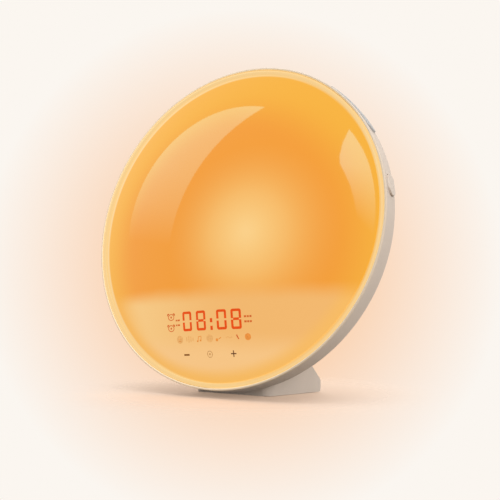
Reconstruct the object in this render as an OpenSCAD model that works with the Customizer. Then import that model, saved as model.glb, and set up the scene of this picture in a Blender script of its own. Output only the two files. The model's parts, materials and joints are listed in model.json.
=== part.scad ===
// Sunrise alarm clock: a domed light panel in a round housing that leans back on a wedge foot.
// Origin: centre of the foot pad's underside. X is the viewer's right, the panel faces -Y, Z is up.
// Most pieces are drawn in the head's own frame: its Z is the panel's axis towards the viewer,
// its Y runs up the panel, and its z = 0 is the plane of the panel's edge.

/* [Light panel] */
// Diameter of the light panel over its bead
panel_d = 179.2; // [174:0.2:186]
// Height of the dome above its edge
dome_h = 16; // [14:0.5:19]
// Wall of the light panel
panel_wall = 2.2; // [1.8:0.1:2.6]
// Width of the raised bead round the dome
bead_w = 2.8; // [2.4:0.1:3.2]
// Height of the bead above the panel's edge plane
bead_h = 1.2; // [0.8:0.1:1.6]
// Depth of the panel's flange behind its edge plane
panel_seat = 1.6; // [1.2:0.1:1.9]

/* [Housing] */
// Wall of the rim band and the rear shell
shell_wall = 2.2; // [1.8:0.1:2.6]
// Thickness of the lip round the panel
lip_t = 1.15; // [0.9:0.05:1.5]
// Height of the lip above the panel's edge plane
lip_h = 0.9; // [0.5:0.1:1.3]
// Gap between the panel and the lip
panel_gap = 0.25; // [0.15:0.05:0.4]
// Depth of the straight side of the rim
rim_depth = 11.2; // [10.8:0.1:12]
// Depth of the parting line between rim band and rear shell
seam_depth = 13.2; // [12.8:0.1:14]
// Depth of the flat back
back_depth = 39; // [38:0.5:42]
// Diameter of the flat back
back_flat_d = 80; // [76:1:86]
// Backward lean of the head, in degrees
lean = 10; // [8:0.5:12]
// Width of the web inside the rim band
web_w = 12.7; // [12:0.1:13.5]
// Thickness of the web inside the rim band
web_t = 1.2; // [1:0.1:1.6]

/* [Foot] */
// Width of the foot at its front edge
foot_front_w = 46.2; // [42:0.2:50]
// Width of the foot at its rear edge
foot_rear_w = 72.2; // [66:0.2:76]
// Length of the foot's underside, front to back
foot_l = 35.2; // [33:0.2:38]
// How far the foot's rear edge leans out past its underside
foot_lip_out = 1.7; // [1:0.1:3]
// Height of the foot's rear edge
foot_lip_h = 5.3; // [4.5:0.1:6]
// Slope of the foot's upper face, in degrees
foot_slope = 53; // [50:0.5:56]
// Corner radius at the foot's front, seen from above
foot_front_r = 7; // [3:0.5:12]
// Corner radius at the foot's rear, seen from above
foot_rear_r = 1.2; // [0.8:0.1:3]
// Wall of the foot
foot_wall = 2.4; // [2:0.1:2.6]
// Distance of the foot's middle behind the panel's centre
foot_set = 20.9; // [20:0.1:22]
// Distance of the foot's screws behind the panel's centre
foot_screw_set = 15; // [14:0.5:16]
// Spacing of the foot's two screws
foot_screw_pitch = 24; // [22:0.5:26]
// Clearance of the rim's lowest point above the table
rim_lift = 2; // [1.5:0.1:4]
// Thickness of the anti-slip pad
pad_t = 1.6; // [1.2:0.1:2.4]
// How far the pad stands out of the foot
pad_proud = 0.4; // [0.2:0.1:0.8]
// Border of the foot round the pad
pad_border = 2.5; // [2:0.1:2.7]

/* [Rim keys] */
// Axial width of both rim keys
key_h = 8.6; // [7.6:0.1:8.6]
// Depth of the middle of both rim keys
key_depth = 6.5; // [6.4:0.1:6.8]
// Arc of the snooze key, in degrees
snooze_arc = 24.5; // [20:0.5:26]
// Place of the snooze key, in degrees up from the right-hand side
snooze_at = 41.75; // [40:0.25:44]
// How far the snooze key stands out of the rim
snooze_proud = 0.8; // [0.7:0.1:1.6]
// Arc of the light key, in degrees
light_arc = 7; // [6.5:0.5:9]
// Place of the light key, in degrees up from the right-hand side
light_at = 9.5; // [9:0.25:11]
// How far the light key stands out of the rim
light_proud = 1; // [0.8:0.1:1.4]
// Travel of the rim keys
key_travel = 0.6; // [0.4:0.1:0.7]
// Gap round every key in its opening
key_gap = 0.3; // [0.25:0.05:0.4]

/* [Rear keys] */
// Width of a rear function key
rear_key_w = 9; // [8:0.5:10]
// Height of a rear function key
rear_key_h = 5; // [4:0.5:5.5]
// Spacing of the rear function keys
rear_key_pitch = 14; // [13:0.5:15]
// Distance of the rear key row below the speaker's edge
rear_key_drop = 7; // [6.5:0.5:7.5]
// How far the rear keys stand out of the back
rear_key_proud = 1.2; // [0.8:0.1:1.6]
// Travel of the rear keys
rear_key_travel = 0.5; // [0.3:0.1:0.5]

/* [Speaker and sockets] */
// Outer diameter of the speaker
speaker_d = 40; // [36:1:42]
// Depth of the speaker
speaker_h = 15; // [12:0.5:16]
// Thickness of the speaker's gasket
gasket_t = 1; // [0.8:0.1:1.5]
// How far the gasket lies inside the speaker's edge
gasket_inset = 2; // [1.8:0.1:2.4]
// Width of one slot of the speaker grille
slot_w = 1.6; // [1.2:0.1:2]
// Spacing of the grille slots
slot_pitch = 3.6; // [3.2:0.1:4]
// Bore of the power inlet
inlet_bore = 6.3; // [5.5:0.1:6.5]
// Centre of the power inlet, right and up from the panel's centre
inlet_at = [24, -27]; // [-40:0.5:40]
// Centre of the charging socket, right and up from the panel's centre
usb_at = [4, -35]; // [-40:0.5:40]
// Diameter of the back-up coin cell
cell_d = 20; // [20:0.5:21]
// Thickness of the back-up coin cell
cell_t = 3.2; // [2.5:0.1:3.2]
// Centre of the coin cell, right and up from the panel's centre
cell_at = [-20, -24]; // [-40:0.5:40]

/* [Display] */
// Height of the digits
digit_h = 10.3; // [9:0.1:11]
// Width of one digit
digit_w = 6; // [5.4:0.1:6.6]
// Spacing of two neighbouring digits
digit_pitch = 8.8; // [8.2:0.1:9.4]
// Gap between the digit pairs
colon_w = 6.9; // [6:0.1:7.6]
// Width of one display segment
segment_w = 1.25; // [1:0.05:1.4]
// Width of the colon's bars
colon_bar_w = 1.1; // [0.9:0.1:1.4]
// Height of the colon's bars
colon_bar_h = 2.4; // [2:0.1:2.8]
// Distance of the display's middle above the panel's lower edge
display_edge = 34; // [33:0.2:35.6]
// Distance of the touch marks above the panel's lower edge
touch_edge = 16.9; // [16:0.1:17.6]
// Spacing of the touch marks
touch_pitch = 14.7; // [13:0.1:16]
// Distance of the pale display field's top above the panel's lower edge
field_edge = 51.6; // [50:0.5:54]

/* [Boards and fasteners] */
// Thickness of the printed circuit boards
board_t = 1.6; // [1.2:0.1:1.8]
// Diameter of the light board
light_board_d = 64; // [60:1:70]
// Distance of the light board's pins inside its edge
light_pin_inset = 5; // [4.5:0.5:5.5]
// Width of the main board
main_board_w = 84; // [80:1:88]
// Height of the main board
main_board_h = 38; // [36:1:38]
// Thread diameter of the housing screws
screw_d = 2.9; // [2.5:0.1:3]
// Head diameter of the housing screws
screw_head_d = 5.4; // [5:0.1:5.6]
// Head height of the housing screws
screw_head_h = 2; // [1.6:0.1:2.2]

/* [Hidden] */

$fn = 48;
fine = 180;                 // facets of the large rings
arc_steps = 20;             // steps of a profile's arc
over = 1;                   // how far a cut runs past the face that it opens

// Colours as they look in daylight
cream = "#D8CABB";
pale_grey = "#CDCDCB";
glow = "#F5A240";
white_plastic = "#F2F0EA";
board_green = "#2F6B45";
steel = "#B9BCC0";
black_plastic = "#262626";
brass = "#D4AF37";

// The head
panel_r = panel_d / 2;
dome_base_r = panel_r - bead_w;
dome_edge_z = 0.4;
dome_r = (pow(dome_base_r, 2) + pow(dome_h, 2)) / (2 * dome_h);
dome_z = dome_edge_z + dome_h - dome_r;             // height of the dome's centre of curvature
dome_in_r = dome_r - panel_wall;
lip_in_r = panel_r + panel_gap;
rim_r = lip_in_r + lip_t;
wall_in_r = rim_r - shell_wall;
back_flat_r = back_flat_d / 2;
back_rise = back_depth - rim_depth;
back_arc_r = (pow(rim_r - back_flat_r, 2) + pow(back_rise, 2)) / (2 * back_rise);
back_arc_z = back_arc_r - back_depth;
back_mid = [back_flat_r, back_arc_z];               // centre of the back's arc
floor_z = shell_wall - back_depth;                  // inner face of the flat back
head_y = -foot_set;
head_z = rim_lift + rim_r * cos(lean) + rim_depth * sin(lean);

// The web inside the rim band and what it carries
web_in_r = wall_in_r - web_w;
web_z = web_t - seam_depth;                         // front face of the web
hook_room = 6.8;                                    // room for the panel's hooks outside the tray
seat_r = wall_in_r - hook_room;
screw_ring_r = (web_in_r + seat_r) / 2;
lap = 1.8;                                          // tongue that laps into the rear shell
lap_t = 1.2;
lap_gap = 0.3;
boss_r = screw_d / 2 + 1.4;
well_r = boss_r + 1.2;                              // wall of the rear shell's screw wells
boss_depth = 17;                                    // where the band's screw bosses end
pilot_gap = 0.05;                                   // gap between a screw and its pilot hole
drive_w = 0.7;                                      // slots of a screw's cross drive
drive_deep = 1;
slot_share = 0.6;
pilot_r = screw_d / 2 + pilot_gap;
boss_floor = 0.9;                                   // closed end of a blind screw boss
pilot_deep = 6;                                     // depth of a small screw's pilot hole
small_grip = 4;                                     // length of a small screw in its pilot hole
shell_screw_angles = [30, 90, 150, 210, 330];
tray_screw_angles = [75, 120, 180, 345];
carrier_screw_angles = [222, 318];
hook_angles = [80, 130, 180, 230, 280, 335];
hook_arc = 9;
catch_z = -5.6;                                     // rear face of the catch rib for the hooks
catch_t = 1;                                        // thickness of the catch rib
catch_w = 0.7;                                      // how far it stands into the head
hook_t = 1.3;                                       // thickness of a hook's arm
hook_bite = 0.75;                                   // how far a hook reaches behind its catch
hook_tip = 1.6;                                     // how far a hook runs past its catch
hook_out_r = wall_in_r - hook_bite - 0.25;          // outer face of a hook's arm
seat_t = 1.6;                                       // thickness of the tray and the carrier
part_gap = 0.3;                                     // gap between neighbours that don't seat
seat_screw_grip = 3.6;                              // length of their screws in the bosses
fit_gap = 0.2;                                      // gap round screws, sockets and blocks
over_lap = 0.01;                                    // overlap of two solids that are drawn as one

// The light tray
tray_drop = 4;
tray_floor_z = web_z - tray_drop;                   // front face of the tray's floor
tray_floor_r = web_in_r - 3 * tray_drop;
light_pins_y = light_pin_inset - light_board_d / 2;
light_pin_pitch = 2.54;
light_pin_w = 0.64;

// The foot
foot_z = pad_proud;
foot_front = -foot_l / 2;
foot_lip_y = foot_l / 2 + foot_lip_out;
foot_flare = atan((foot_rear_w - foot_front_w) / 2 / foot_l);
foot_floor = 3.2;
foot_gap = 0.2;                                     // gap between the foot and the rear shell
foot_screw_y = foot_screw_set - foot_set;
foot_post_r = 4.4;
foot_head_z = pad_t + screw_head_h + 0.2;           // where the heads of the foot's screws rest
foot_boss_top = 27;
pad_gap = 0.1;                                      // gap round the pad in its recess

// Keys and switches
key_flange = 1.2;                                   // how far a key's flange runs past its opening
key_flange_t = 1.2;
key_seat_gap = 0.2;
key_inner_r = wall_in_r - key_seat_gap - key_flange_t;
plunger_tip_r = key_inner_r - 2.7;
switch_out_r = plunger_tip_r - 1.1;
switch_deep = 3.8;
switch_w = 6;
switch_high = 2.7 - key_depth;                      // front face of the side-push switches
plunger_r = 1;
plunger_gap = 0.08;
plunger_in = 1;                                     // length of a plunger inside its switch
key_board_in_r = web_in_r + 1.2;
key_board_out_r = switch_out_r + 0.8;
key_board_t = 1.2;
key_board_angles = [-3, 54];
key_board_screw_angles = [0, 26];
key_post_w = 5;
key_post_h = 4;
small_screw_d = 2;
small_head_d = 3.8;
small_head_h = 1.2;
small_boss_r = small_screw_d / 2 + 1.2;
small_pilot_r = small_screw_d / 2 + pilot_gap;
small_hole_r = small_screw_d / 2 + fit_gap;

// Speaker
speaker_y = back_flat_r - speaker_d / 2 + gasket_inset;
speaker_flange_t = 1.4;
speaker_back_z = floor_z + gasket_t;                // the speaker's face against its gasket
speaker_flange_z = speaker_back_z + speaker_flange_t;
gasket_w = 2.4;
magnet_t = 5;
speaker_screw_set = 2.3;                            // how far its screws lie outside the speaker

// Rear keys
rear_key_count = 4;
rear_key_y = speaker_y - speaker_d / 2 - rear_key_drop;
rear_flange_z = floor_z + key_seat_gap;
rear_post_z = rear_flange_z + key_flange_t + 1.5;
rear_post_r = 1.7;
rear_switch_z = rear_post_z + 0.9;                  // rear face of the tact switches
rear_switch_t = 3.4;
function_board_z = rear_switch_z + rear_switch_t;   // rear face of the function board
standoff_r = 2.6;
standoff_gap = 0.7;                                 // gap between a standoff and the next key
board_corner = 4;                                   // inset of a board's screws from its edges
function_board_w = (rear_key_count - 1) * rear_key_pitch + rear_key_w
    + 2 * (key_flange + standoff_gap + standoff_r + board_corner);
function_board_h = 12;

// Main board
main_board_rise = 13.4;                             // height of the main board over the back
main_board_z = main_board_rise - back_depth;        // rear face of the main board
main_board_top = rear_key_y - function_board_h / 2 - 3;
main_board_y = main_board_top - main_board_h / 2;

// Display, in the frame that touches the dome at the display's middle
display_drop = panel_r - display_edge;
touch_drop = panel_r - touch_edge;
field_drop = panel_r - field_edge;
block_t = 6;
block_border = 0.7;                                 // border of the block round its digits
block_w = 2 * (digit_x(3) + digit_w / 2 + block_border);
block_h = digit_h + 2 * block_border;
block_z = -panel_wall - 1.1;                        // front of the display block below the dome
display_board_w = 84;
display_board_h = [18, 13];                         // below and above the display's middle
display_board_t = 1.2;
display_back_z = block_z - block_t - display_board_t;       // rear face of the display board
touch_pad_r = 3.6;
segment_t = 1.2;
segment_gap = 0.12;
colon_drops = [0.4, 4.3];                           // colon bars' centres below the digits' middle
time_digits = [0, 8, 0, 8];
display_post_x = 30;
ribbon_w = 14;
ribbon_t = 0.4;

// Sockets
inlet_body = 11;
inlet_nose_r = inlet_bore / 2 + 1.65;
inlet_deep = 10;
inlet_pin_r = 1;
socket_z = 0.6 - back_depth;                        // mouths of the inlet and the socket
usb_w = 14.4;
usb_h = 7;
usb_wall = 1;
usb_deep = 9;
cell_gap = 0.4;
door_t = 1.6;
door_r = cell_d / 2 + 1.1;
door_ear = 12.4;
door_ear_r = 3.2;
ear_t = 0.8;                                        // the door's ear under its screw's head
ear_boss_h = 7;
cell_wall = 1.7;
cell_ledge_r = cell_d / 2 + cell_gap;
contact_t = 0.4;
door_gap = 0.6;                                     // gap between the cell and its door
cell_floor_z = -back_depth + door_t + door_gap + cell_t + contact_t;

function arc(centre, r, from, to, steps) =
    [for (k = [0 : steps]) let (a = from + (to - from) * k / steps) centre + r * [cos(a), sin(a)]];

// Radius of the housing's curved back at a depth, inset by a wall
function back_r(z, inset) =
    back_flat_r + sqrt(pow(back_arc_r - inset, 2) - pow(z - back_arc_z, 2));

// Angle on the back's arc at a depth, inset by a wall
function back_angle(z, inset) = asin((z - back_arc_z) / (back_arc_r - inset));

function unit(v) = v / norm(v);

// A polygon's corner b, between a and c, rounded to a radius
function corner(a, b, c, r, steps) =
    let (
        u = unit(a - b),
        w = unit(c - b),
        half = acos(u * w) / 2,
        middle = b + unit(u + w) * r / sin(half),
        start = b + u * r / tan(half) - middle,
        end = b + w * r / tan(half) - middle,
        from = atan2(start[1], start[0]),
        turn = (atan2(end[1], end[0]) - from + 540) % 360 - 180
    )
    arc(middle, r, from, from + turn, steps);

function rounded(points, radii, steps = 6) =
    let (n = len(points))
    [for (i = [0 : n - 1])
        each radii[i] > 0
            ? corner(points[(i + n - 1) % n], points[i], points[(i + 1) % n], radii[i], steps)
            : [points[i]]];

module in_head() {
    translate([0, head_y, head_z]) rotate([90 - lean, 0, 0]) children();
}

// A frame on the dome, its z = 0 at the dome's surface, a given distance below its middle
module on_dome(drop) {
    translate([0, 0, dome_z])
        rotate([asin(drop / dome_r), 0, 0])
            translate([0, 0, dome_r]) children();
}

// The same frame's point (0, y, z) as [y, z] of the head's frame
function from_dome(drop, y, z) =
    let (a = asin(drop / dome_r))
    [y * cos(a) - (z + dome_r) * sin(a), dome_z + y * sin(a) + (z + dome_r) * cos(a)];

module around(angles, r) {
    for (a = angles) rotate(a) translate([r, 0, 0]) children();
}

module ring(section_steps = fine) {
    rotate_extrude($fn = section_steps) children();
}

module tube(r_out, r_in, z_low, z_high) {
    translate([0, 0, z_low]) difference() {
        cylinder(r = r_out, h = z_high - z_low);
        translate([0, 0, -over]) cylinder(r = r_in, h = z_high - z_low + 2 * over);
    }
}

module rod(r, z_low, z_high) {
    translate([0, 0, z_low]) cylinder(r = r, h = z_high - z_low);
}

module pill(l, h) {
    square([l - h, h], center = true);
    for (side = [-1, 1]) translate([side * (l - h) / 2, 0]) circle(h / 2);
}

module rounded_plate(w, l, r) {
    square([w - 2 * r, l], center = true);
    square([w, l - 2 * r], center = true);
    for (x = [-1, 1], y = [-1, 1]) translate([x * (w / 2 - r), y * (l / 2 - r)]) circle(r);
}

// A pan-head screw along -z, its head resting on z = 0
module screw(shank, d = screw_d, head_d = screw_head_d, head_h = screw_head_h) {
    difference() {
        union() {
            rod(head_d / 2, 0, head_h);
            rod(d / 2, -shank, over_lap);
        }
        for (a = [0, 90]) rotate(a) translate([0, 0, head_h])
            cube([head_d * slot_share, drive_w, drive_deep], center = true);
    }
}

module small_screw(shank) {
    screw(shank, small_screw_d, small_head_d, small_head_h);
}

// ---- Light panel, rim band and rear shell ----

module dome_skin(r_out, r_in) {
    difference() {
        translate([0, dome_z]) circle(r_out, $fn = 2 * fine);
        translate([0, dome_z]) circle(r_in, $fn = 2 * fine);
    }
}

module light_panel() {
    bead_mid = [panel_r - bead_w / 2, bead_h - bead_w / 2];
    root = 0.6;                                     // how far dome and bead run into each other
    hook_in_r = hook_out_r - hook_t;
    color(glow) in_head() {
        ring() {
            intersection() {
                dome_skin(dome_r, dome_in_r);
                translate([0, -panel_seat]) square([dome_base_r + root, dome_h + 2 * panel_seat]);
            }
            polygon(concat(
                [[dome_base_r - root, -panel_seat], [panel_r, -panel_seat]],
                arc(bead_mid, bead_w / 2, 0, 180, 12),
                [[dome_base_r - root, bead_mid[1]]]
            ));
        }
        for (a = hook_angles) rotate(a - hook_arc / 2)
            rotate_extrude(angle = hook_arc, $fn = fine) polygon([
                [hook_in_r, part_gap - panel_seat], [hook_out_r, part_gap - panel_seat],
                [hook_out_r, catch_z - part_gap], [hook_out_r + hook_bite, catch_z - part_gap],
                [hook_out_r + hook_bite, catch_z - 2 * part_gap],
                [hook_out_r - 0.2, catch_z - hook_tip], [hook_in_r, catch_z - hook_tip]
            ]);
    }
}

module key_opening(arc_deg, at) {
    rotate(at) translate([web_in_r, 0, -key_depth]) rotate([90, 0, 90])
        linear_extrude(rim_r - web_in_r + over)
            pill(key_length(arc_deg) + 2 * key_gap, key_h + 2 * key_gap);
}

function key_length(arc_deg) = 2 * rim_r * sin(arc_deg / 2);

module rim_band() {
    lip_round = lip_t * 0.4;
    tongue_r = back_r(-seam_depth - lap, shell_wall) - lap_gap;
    lip = rounded(
        [[lip_in_r, -panel_seat], [lip_in_r, lip_h], [rim_r, lip_h], [rim_r, -rim_depth]],
        [0, lip_round, lip_round, 0]
    );
    side = arc(back_mid, back_arc_r, back_angle(-rim_depth, 0), back_angle(-seam_depth, 0), 3);
    inside = [
        [tongue_r, -seam_depth], [tongue_r, -seam_depth - lap],
        [tongue_r - lap_t, -seam_depth - lap], [tongue_r - lap_t, -seam_depth],
        [web_in_r, -seam_depth], [web_in_r, web_z], [wall_in_r, web_z],
        [wall_in_r, -panel_seat]
    ];
    color(cream) in_head() difference() {
        union() {
            ring() polygon(concat(lip, side, inside));
            for (a = hook_angles) rotate(a - hook_arc / 2 - 1)
                rotate_extrude(angle = hook_arc + 2, $fn = fine)
                    translate([wall_in_r - catch_w, catch_z]) square([catch_w + shell_wall / 4, catch_t]);
            around(concat(shell_screw_angles, tray_screw_angles, carrier_screw_angles), screw_ring_r)
                rod(boss_r, -boss_depth, web_z - web_t / 2);
            around(key_board_screw_angles, screw_ring_r)
                rod(small_boss_r, -boss_depth, web_z - web_t / 2);
        }
        key_opening(snooze_arc, snooze_at);
        key_opening(light_arc, light_at);
        around(shell_screw_angles, screw_ring_r)
            rod(pilot_r, -boss_depth - over, web_z - boss_floor);
        around(concat(tray_screw_angles, carrier_screw_angles), screw_ring_r)
            rod(pilot_r, boss_floor - boss_depth, web_z + over);
        around(key_board_screw_angles, screw_ring_r)
            rod(small_pilot_r, boss_floor - boss_depth, web_z + over);
    }
}

// The head behind its straight side, inset by a wall
module housing_solid(inset) {
    ring() polygon(concat(
        [[0, inset - back_depth]],
        arc(back_mid, back_arc_r - inset, -90, back_angle(-rim_depth, inset), arc_steps),
        [[0, -rim_depth]]
    ));
}

module back_cut(depth) {
    translate([0, 0, -back_depth - over]) linear_extrude(depth + over) children();
}

module door_outline(gap) {
    circle(door_r + gap);
    translate([door_ear, 0]) circle(door_ear_r + gap);
    translate([0, -door_ear_r - gap]) square([door_ear, 2 * (door_ear_r + gap)]);
}

module grille_slots() {
    count = floor(speaker_d / 2 / slot_pitch) - 1;
    reach = speaker_d / 2 - 3;
    for (i = [-count : count]) {
        half = sqrt(pow(reach, 2) - pow(i * slot_pitch, 2));
        translate([0, i * slot_pitch]) pill(2 * half, slot_w);
    }
}

function rear_key_x(i) = (i - (rear_key_count + 1) / 2) * rear_key_pitch;

module main_board_corners() {
    for (x = [-1, 1], y = [-1, 1])
        translate([x * (main_board_w / 2 - board_corner),
            main_board_y + y * (main_board_h / 2 - board_corner)]) children();
}

module function_board_ends() {
    for (x = [-1, 1])
        translate([x * (function_board_w / 2 - board_corner), rear_key_y]) children();
}

module speaker_corners() {
    translate([0, speaker_y]) around([45 : 90 : 315], speaker_d / 2 + speaker_screw_set) children();
}

module rear_bosses() {
    around(shell_screw_angles, screw_ring_r) rod(well_r, -back_depth, -boss_depth);
    main_board_corners() rod(standoff_r, -back_depth, main_board_z);
    function_board_ends() rod(standoff_r, -back_depth, function_board_z);
    speaker_corners() rod(small_boss_r, -back_depth, speaker_flange_z);
    translate(cell_at) rod(door_r + cell_wall, -back_depth, cell_floor_z + cell_wall);
    translate([cell_at[0] + door_ear, cell_at[1]])
        rod(door_ear_r + 1.2, -back_depth, -back_depth + ear_boss_h);
}

module rear_shell() {
    color(cream) difference() {
        union() {
            in_head() {
                ring() polygon(concat(
                    [[0, -back_depth]],
                    arc(back_mid, back_arc_r, -90, back_angle(-seam_depth, 0), arc_steps),
                    arc(back_mid, back_arc_r - shell_wall,
                        back_angle(-seam_depth, shell_wall), -90, arc_steps),
                    [[0, floor_z]]
                ));
                intersection() {
                    rear_bosses();
                    housing_solid(shell_wall / 2);
                }
            }
            intersection() {
                foot_screw_places() rod(boss_r + 0.6, 0, foot_boss_top);
                in_head() housing_solid(shell_wall / 2);
            }
        }
        in_head() {
            around(shell_screw_angles, screw_ring_r) {
                rod(screw_head_d / 2 + fit_gap, -back_depth, -boss_depth - seat_t);
                rod(screw_d / 2 + fit_gap, -back_depth, -boss_depth + over);
            }
            main_board_corners() rod(small_pilot_r, main_board_z - pilot_deep, main_board_z + over);
            function_board_ends() rod(small_pilot_r, function_board_z - pilot_deep, function_board_z + over);
            speaker_corners() rod(small_pilot_r, floor_z - 1, speaker_flange_z + over);
            translate([0, speaker_y]) back_cut(shell_wall + over) grille_slots();
            for (i = [1 : rear_key_count]) translate([rear_key_x(i), rear_key_y])
                back_cut(shell_wall + over) pill(rear_key_w + 2 * key_gap, rear_key_h + 2 * key_gap);
            translate(inlet_at) back_cut(shell_wall + over) circle(inlet_nose_r + fit_gap);
            translate(usb_at) back_cut(shell_wall + over)
                square([usb_w + 2 * fit_gap, usb_h + 2 * fit_gap], center = true);
            translate(cell_at) {
                back_cut(door_t) door_outline(fit_gap);
                rod(cell_ledge_r, -back_depth, cell_floor_z);
                translate([door_ear, 0]) rod(small_pilot_r, -back_depth, -back_depth + pilot_deep);
            }
        }
        foot_screw_places() rod(pilot_r, 0, foot_boss_top - boss_floor);
    }
}

module shell_screws() {
    color(steel) in_head() around(shell_screw_angles, screw_ring_r)
        translate([0, 0, -boss_depth - seat_t]) rotate([180, 0, 0]) screw(seat_t + 4);
}

// ---- Foot ----

module foot_screw_places() {
    for (side = [-1, 1]) translate([side * foot_screw_pitch / 2, foot_screw_y]) children();
}

// Height of the foot's sloping upper face, inset by a wall, and the place where it has a height
function foot_top_z(y, inset) =
    foot_lip_h + (foot_lip_y - y) * tan(foot_slope) - inset / cos(foot_slope);
function foot_top_y(z, inset) =
    foot_lip_y - (z - foot_lip_h) / tan(foot_slope) - inset / sin(foot_slope);

// Half the foot's width, inset by a wall
function foot_half(y, inset) =
    foot_front_w / 2 + (y - foot_front) * tan(foot_flare) - inset / cos(foot_flare);

// The foot seen from above, inset by a wall
module foot_plan(inset, rear = foot_lip_y) {
    front = foot_front + inset;
    back = rear - inset;
    polygon(rounded(
        [[-foot_half(front, inset), front], [foot_half(front, inset), front],
         [foot_half(back, inset), back], [-foot_half(back, inset), back]],
        [foot_front_r - inset, foot_front_r - inset,
         max(foot_rear_r - inset, 0), max(foot_rear_r - inset, 0)],
        14
    ));
}

module foot_side() {
    polygon(rounded(
        [[foot_front, foot_z], [foot_l / 2, foot_z], [foot_lip_y, foot_lip_h],
         [foot_front, foot_top_z(foot_front, 0)]],
        [0, 1, 1.6, 0]
    ));
}

module foot_inside() {
    front = foot_front + foot_wall;
    low = foot_z + foot_floor;
    polygon([[front, low], [foot_top_y(low, foot_wall), low], [front, foot_top_z(front, foot_wall)]]);
}

// Side profiles stand in the YZ plane and run along X
module side_extrude(w) {
    rotate([90, 0, 90]) translate([0, 0, -w / 2]) linear_extrude(w) children();
}

module foot() {
    tall = foot_top_z(foot_front, 0);
    color(cream) difference() {
        intersection() {
            side_extrude(2 * foot_rear_w) foot_side();
            linear_extrude(tall) foot_plan(0);
        }
        difference() {
            intersection() {
                side_extrude(foot_rear_w) foot_inside();
                linear_extrude(tall) foot_plan(foot_wall);
            }
            foot_screw_places() rod(foot_post_r, 0, foot_boss_top);
        }
        in_head() ring() polygon(concat(
            [[0, -foot_gap - back_depth]],
            arc(back_mid, back_arc_r + foot_gap, -90, back_angle(-rim_depth, -foot_gap), arc_steps),
            [[rim_r + foot_gap, 0], [0, 0]]
        ));
        translate([0, 0, foot_z - over]) linear_extrude(pad_t - pad_proud + over)
            foot_plan(pad_border, foot_l / 2);
        foot_screw_places() {
            rod(screw_head_d / 2 + fit_gap, 0, foot_head_z);
            rod(screw_d / 2 + fit_gap, 0, foot_boss_top);
        }
    }
}

module foot_pad() {
    color("#3A3A38") linear_extrude(pad_t) foot_plan(pad_border + pad_gap, foot_l / 2);
}

module foot_screws() {
    color(steel) foot_screw_places() translate([0, 0, foot_head_z]) rotate([180, 0, 0])
        screw(foot_boss_top - foot_head_z - 2);
}

// ---- Light tray and light board ----

// What lies above or below the top of the pale display field
module field_side(above) {
    low = above ? part_gap - field_drop : -rim_r;
    high = above ? rim_r : -field_drop;
    intersection() {
        children();
        translate([-rim_r, low, -back_depth]) cube([2 * rim_r, high - low, 2 * back_depth]);
    }
}

module key_board_sector(grow) {
    rotate(key_board_angles[0] - grow)
        rotate_extrude(angle = key_board_angles[1] - key_board_angles[0] + 2 * grow, $fn = fine)
            children();
}

module reflector_tray() {
    slope_in_r = web_in_r - 1;
    slope_out_r = web_in_r - 0.6;
    color(white_plastic) in_head() field_side(true) difference() {
        ring() polygon([
            [0, tray_floor_z], [tray_floor_r, tray_floor_z], [slope_in_r, web_z + seat_t],
            [seat_r, web_z + seat_t], [seat_r, web_z], [slope_out_r, web_z],
            [tray_floor_r + 0.4, tray_floor_z - seat_t], [0, tray_floor_z - seat_t]
        ]);
        key_board_sector(1) translate([key_board_in_r - part_gap, web_z - over])
            square([rim_r - key_board_in_r, seat_t + 2 * over]);
        around(tray_screw_angles, screw_ring_r)
            rod(screw_d / 2 + fit_gap, web_z - over, web_z + seat_t + over);
        light_board_holes() rod(small_pilot_r, -back_depth, 0);
        translate([0, light_pins_y, -back_depth]) linear_extrude(back_depth)
            square([4 * light_pin_pitch + 2, light_pin_w + 3], center = true);
    }
}

module light_board_holes() {
    around([30, 150, 330, 210], light_board_d / 2 - 3) children();
}

module light_pin_places() {
    for (i = [-1.5 : 1.5]) translate([i * light_pin_pitch, light_pins_y]) children();
}

module tray_screws() {
    color(steel) in_head() around(tray_screw_angles, screw_ring_r)
        translate([0, 0, web_z + seat_t]) screw(seat_t + seat_screw_grip);
}

module light_board() {
    color(white_plastic) in_head() translate([0, 0, tray_floor_z]) difference() {
        rod(light_board_d / 2, 0, board_t);
        light_board_holes() rod(small_hole_r, -over, board_t + over);
        light_pin_places() translate([0, 0, -over]) linear_extrude(board_t + 2 * over)
            square(light_pin_w + fit_gap, center = true);
    }
}

module light_leds() {
    color("#FFE7A0") in_head() translate([0, 0, tray_floor_z + board_t]) {
        around([0 : 30 : 330], light_board_d / 2 - 8) led();
        around([15 : 60 : 315], 12) led();
    }
}

module led() {
    led_w = 3.5;
    led_l = 2.8;
    led_t = 0.8;
    difference() {
        translate([-led_w / 2, -led_l / 2, 0]) cube([led_w, led_l, led_t]);
        rod(1.1, 0.5, led_t + over);
    }
}

module light_board_screws() {
    color(steel) in_head() light_board_holes()
        translate([0, 0, tray_floor_z + board_t]) small_screw(board_t + seat_t - 0.2);
}

module light_pins() {
    low = main_board_z + board_t;
    color(brass) in_head() light_pin_places() translate([0, 0, low])
        linear_extrude(tray_floor_z + board_t + 1 - low) square(light_pin_w, center = true);
}

// ---- Display behind the lower part of the panel ----

module display_frame() {
    on_dome(display_drop) children();
}

module display_posts() {
    display_frame() for (x = [-1, 1]) translate([x * display_post_x, 0]) children();
}

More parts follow.
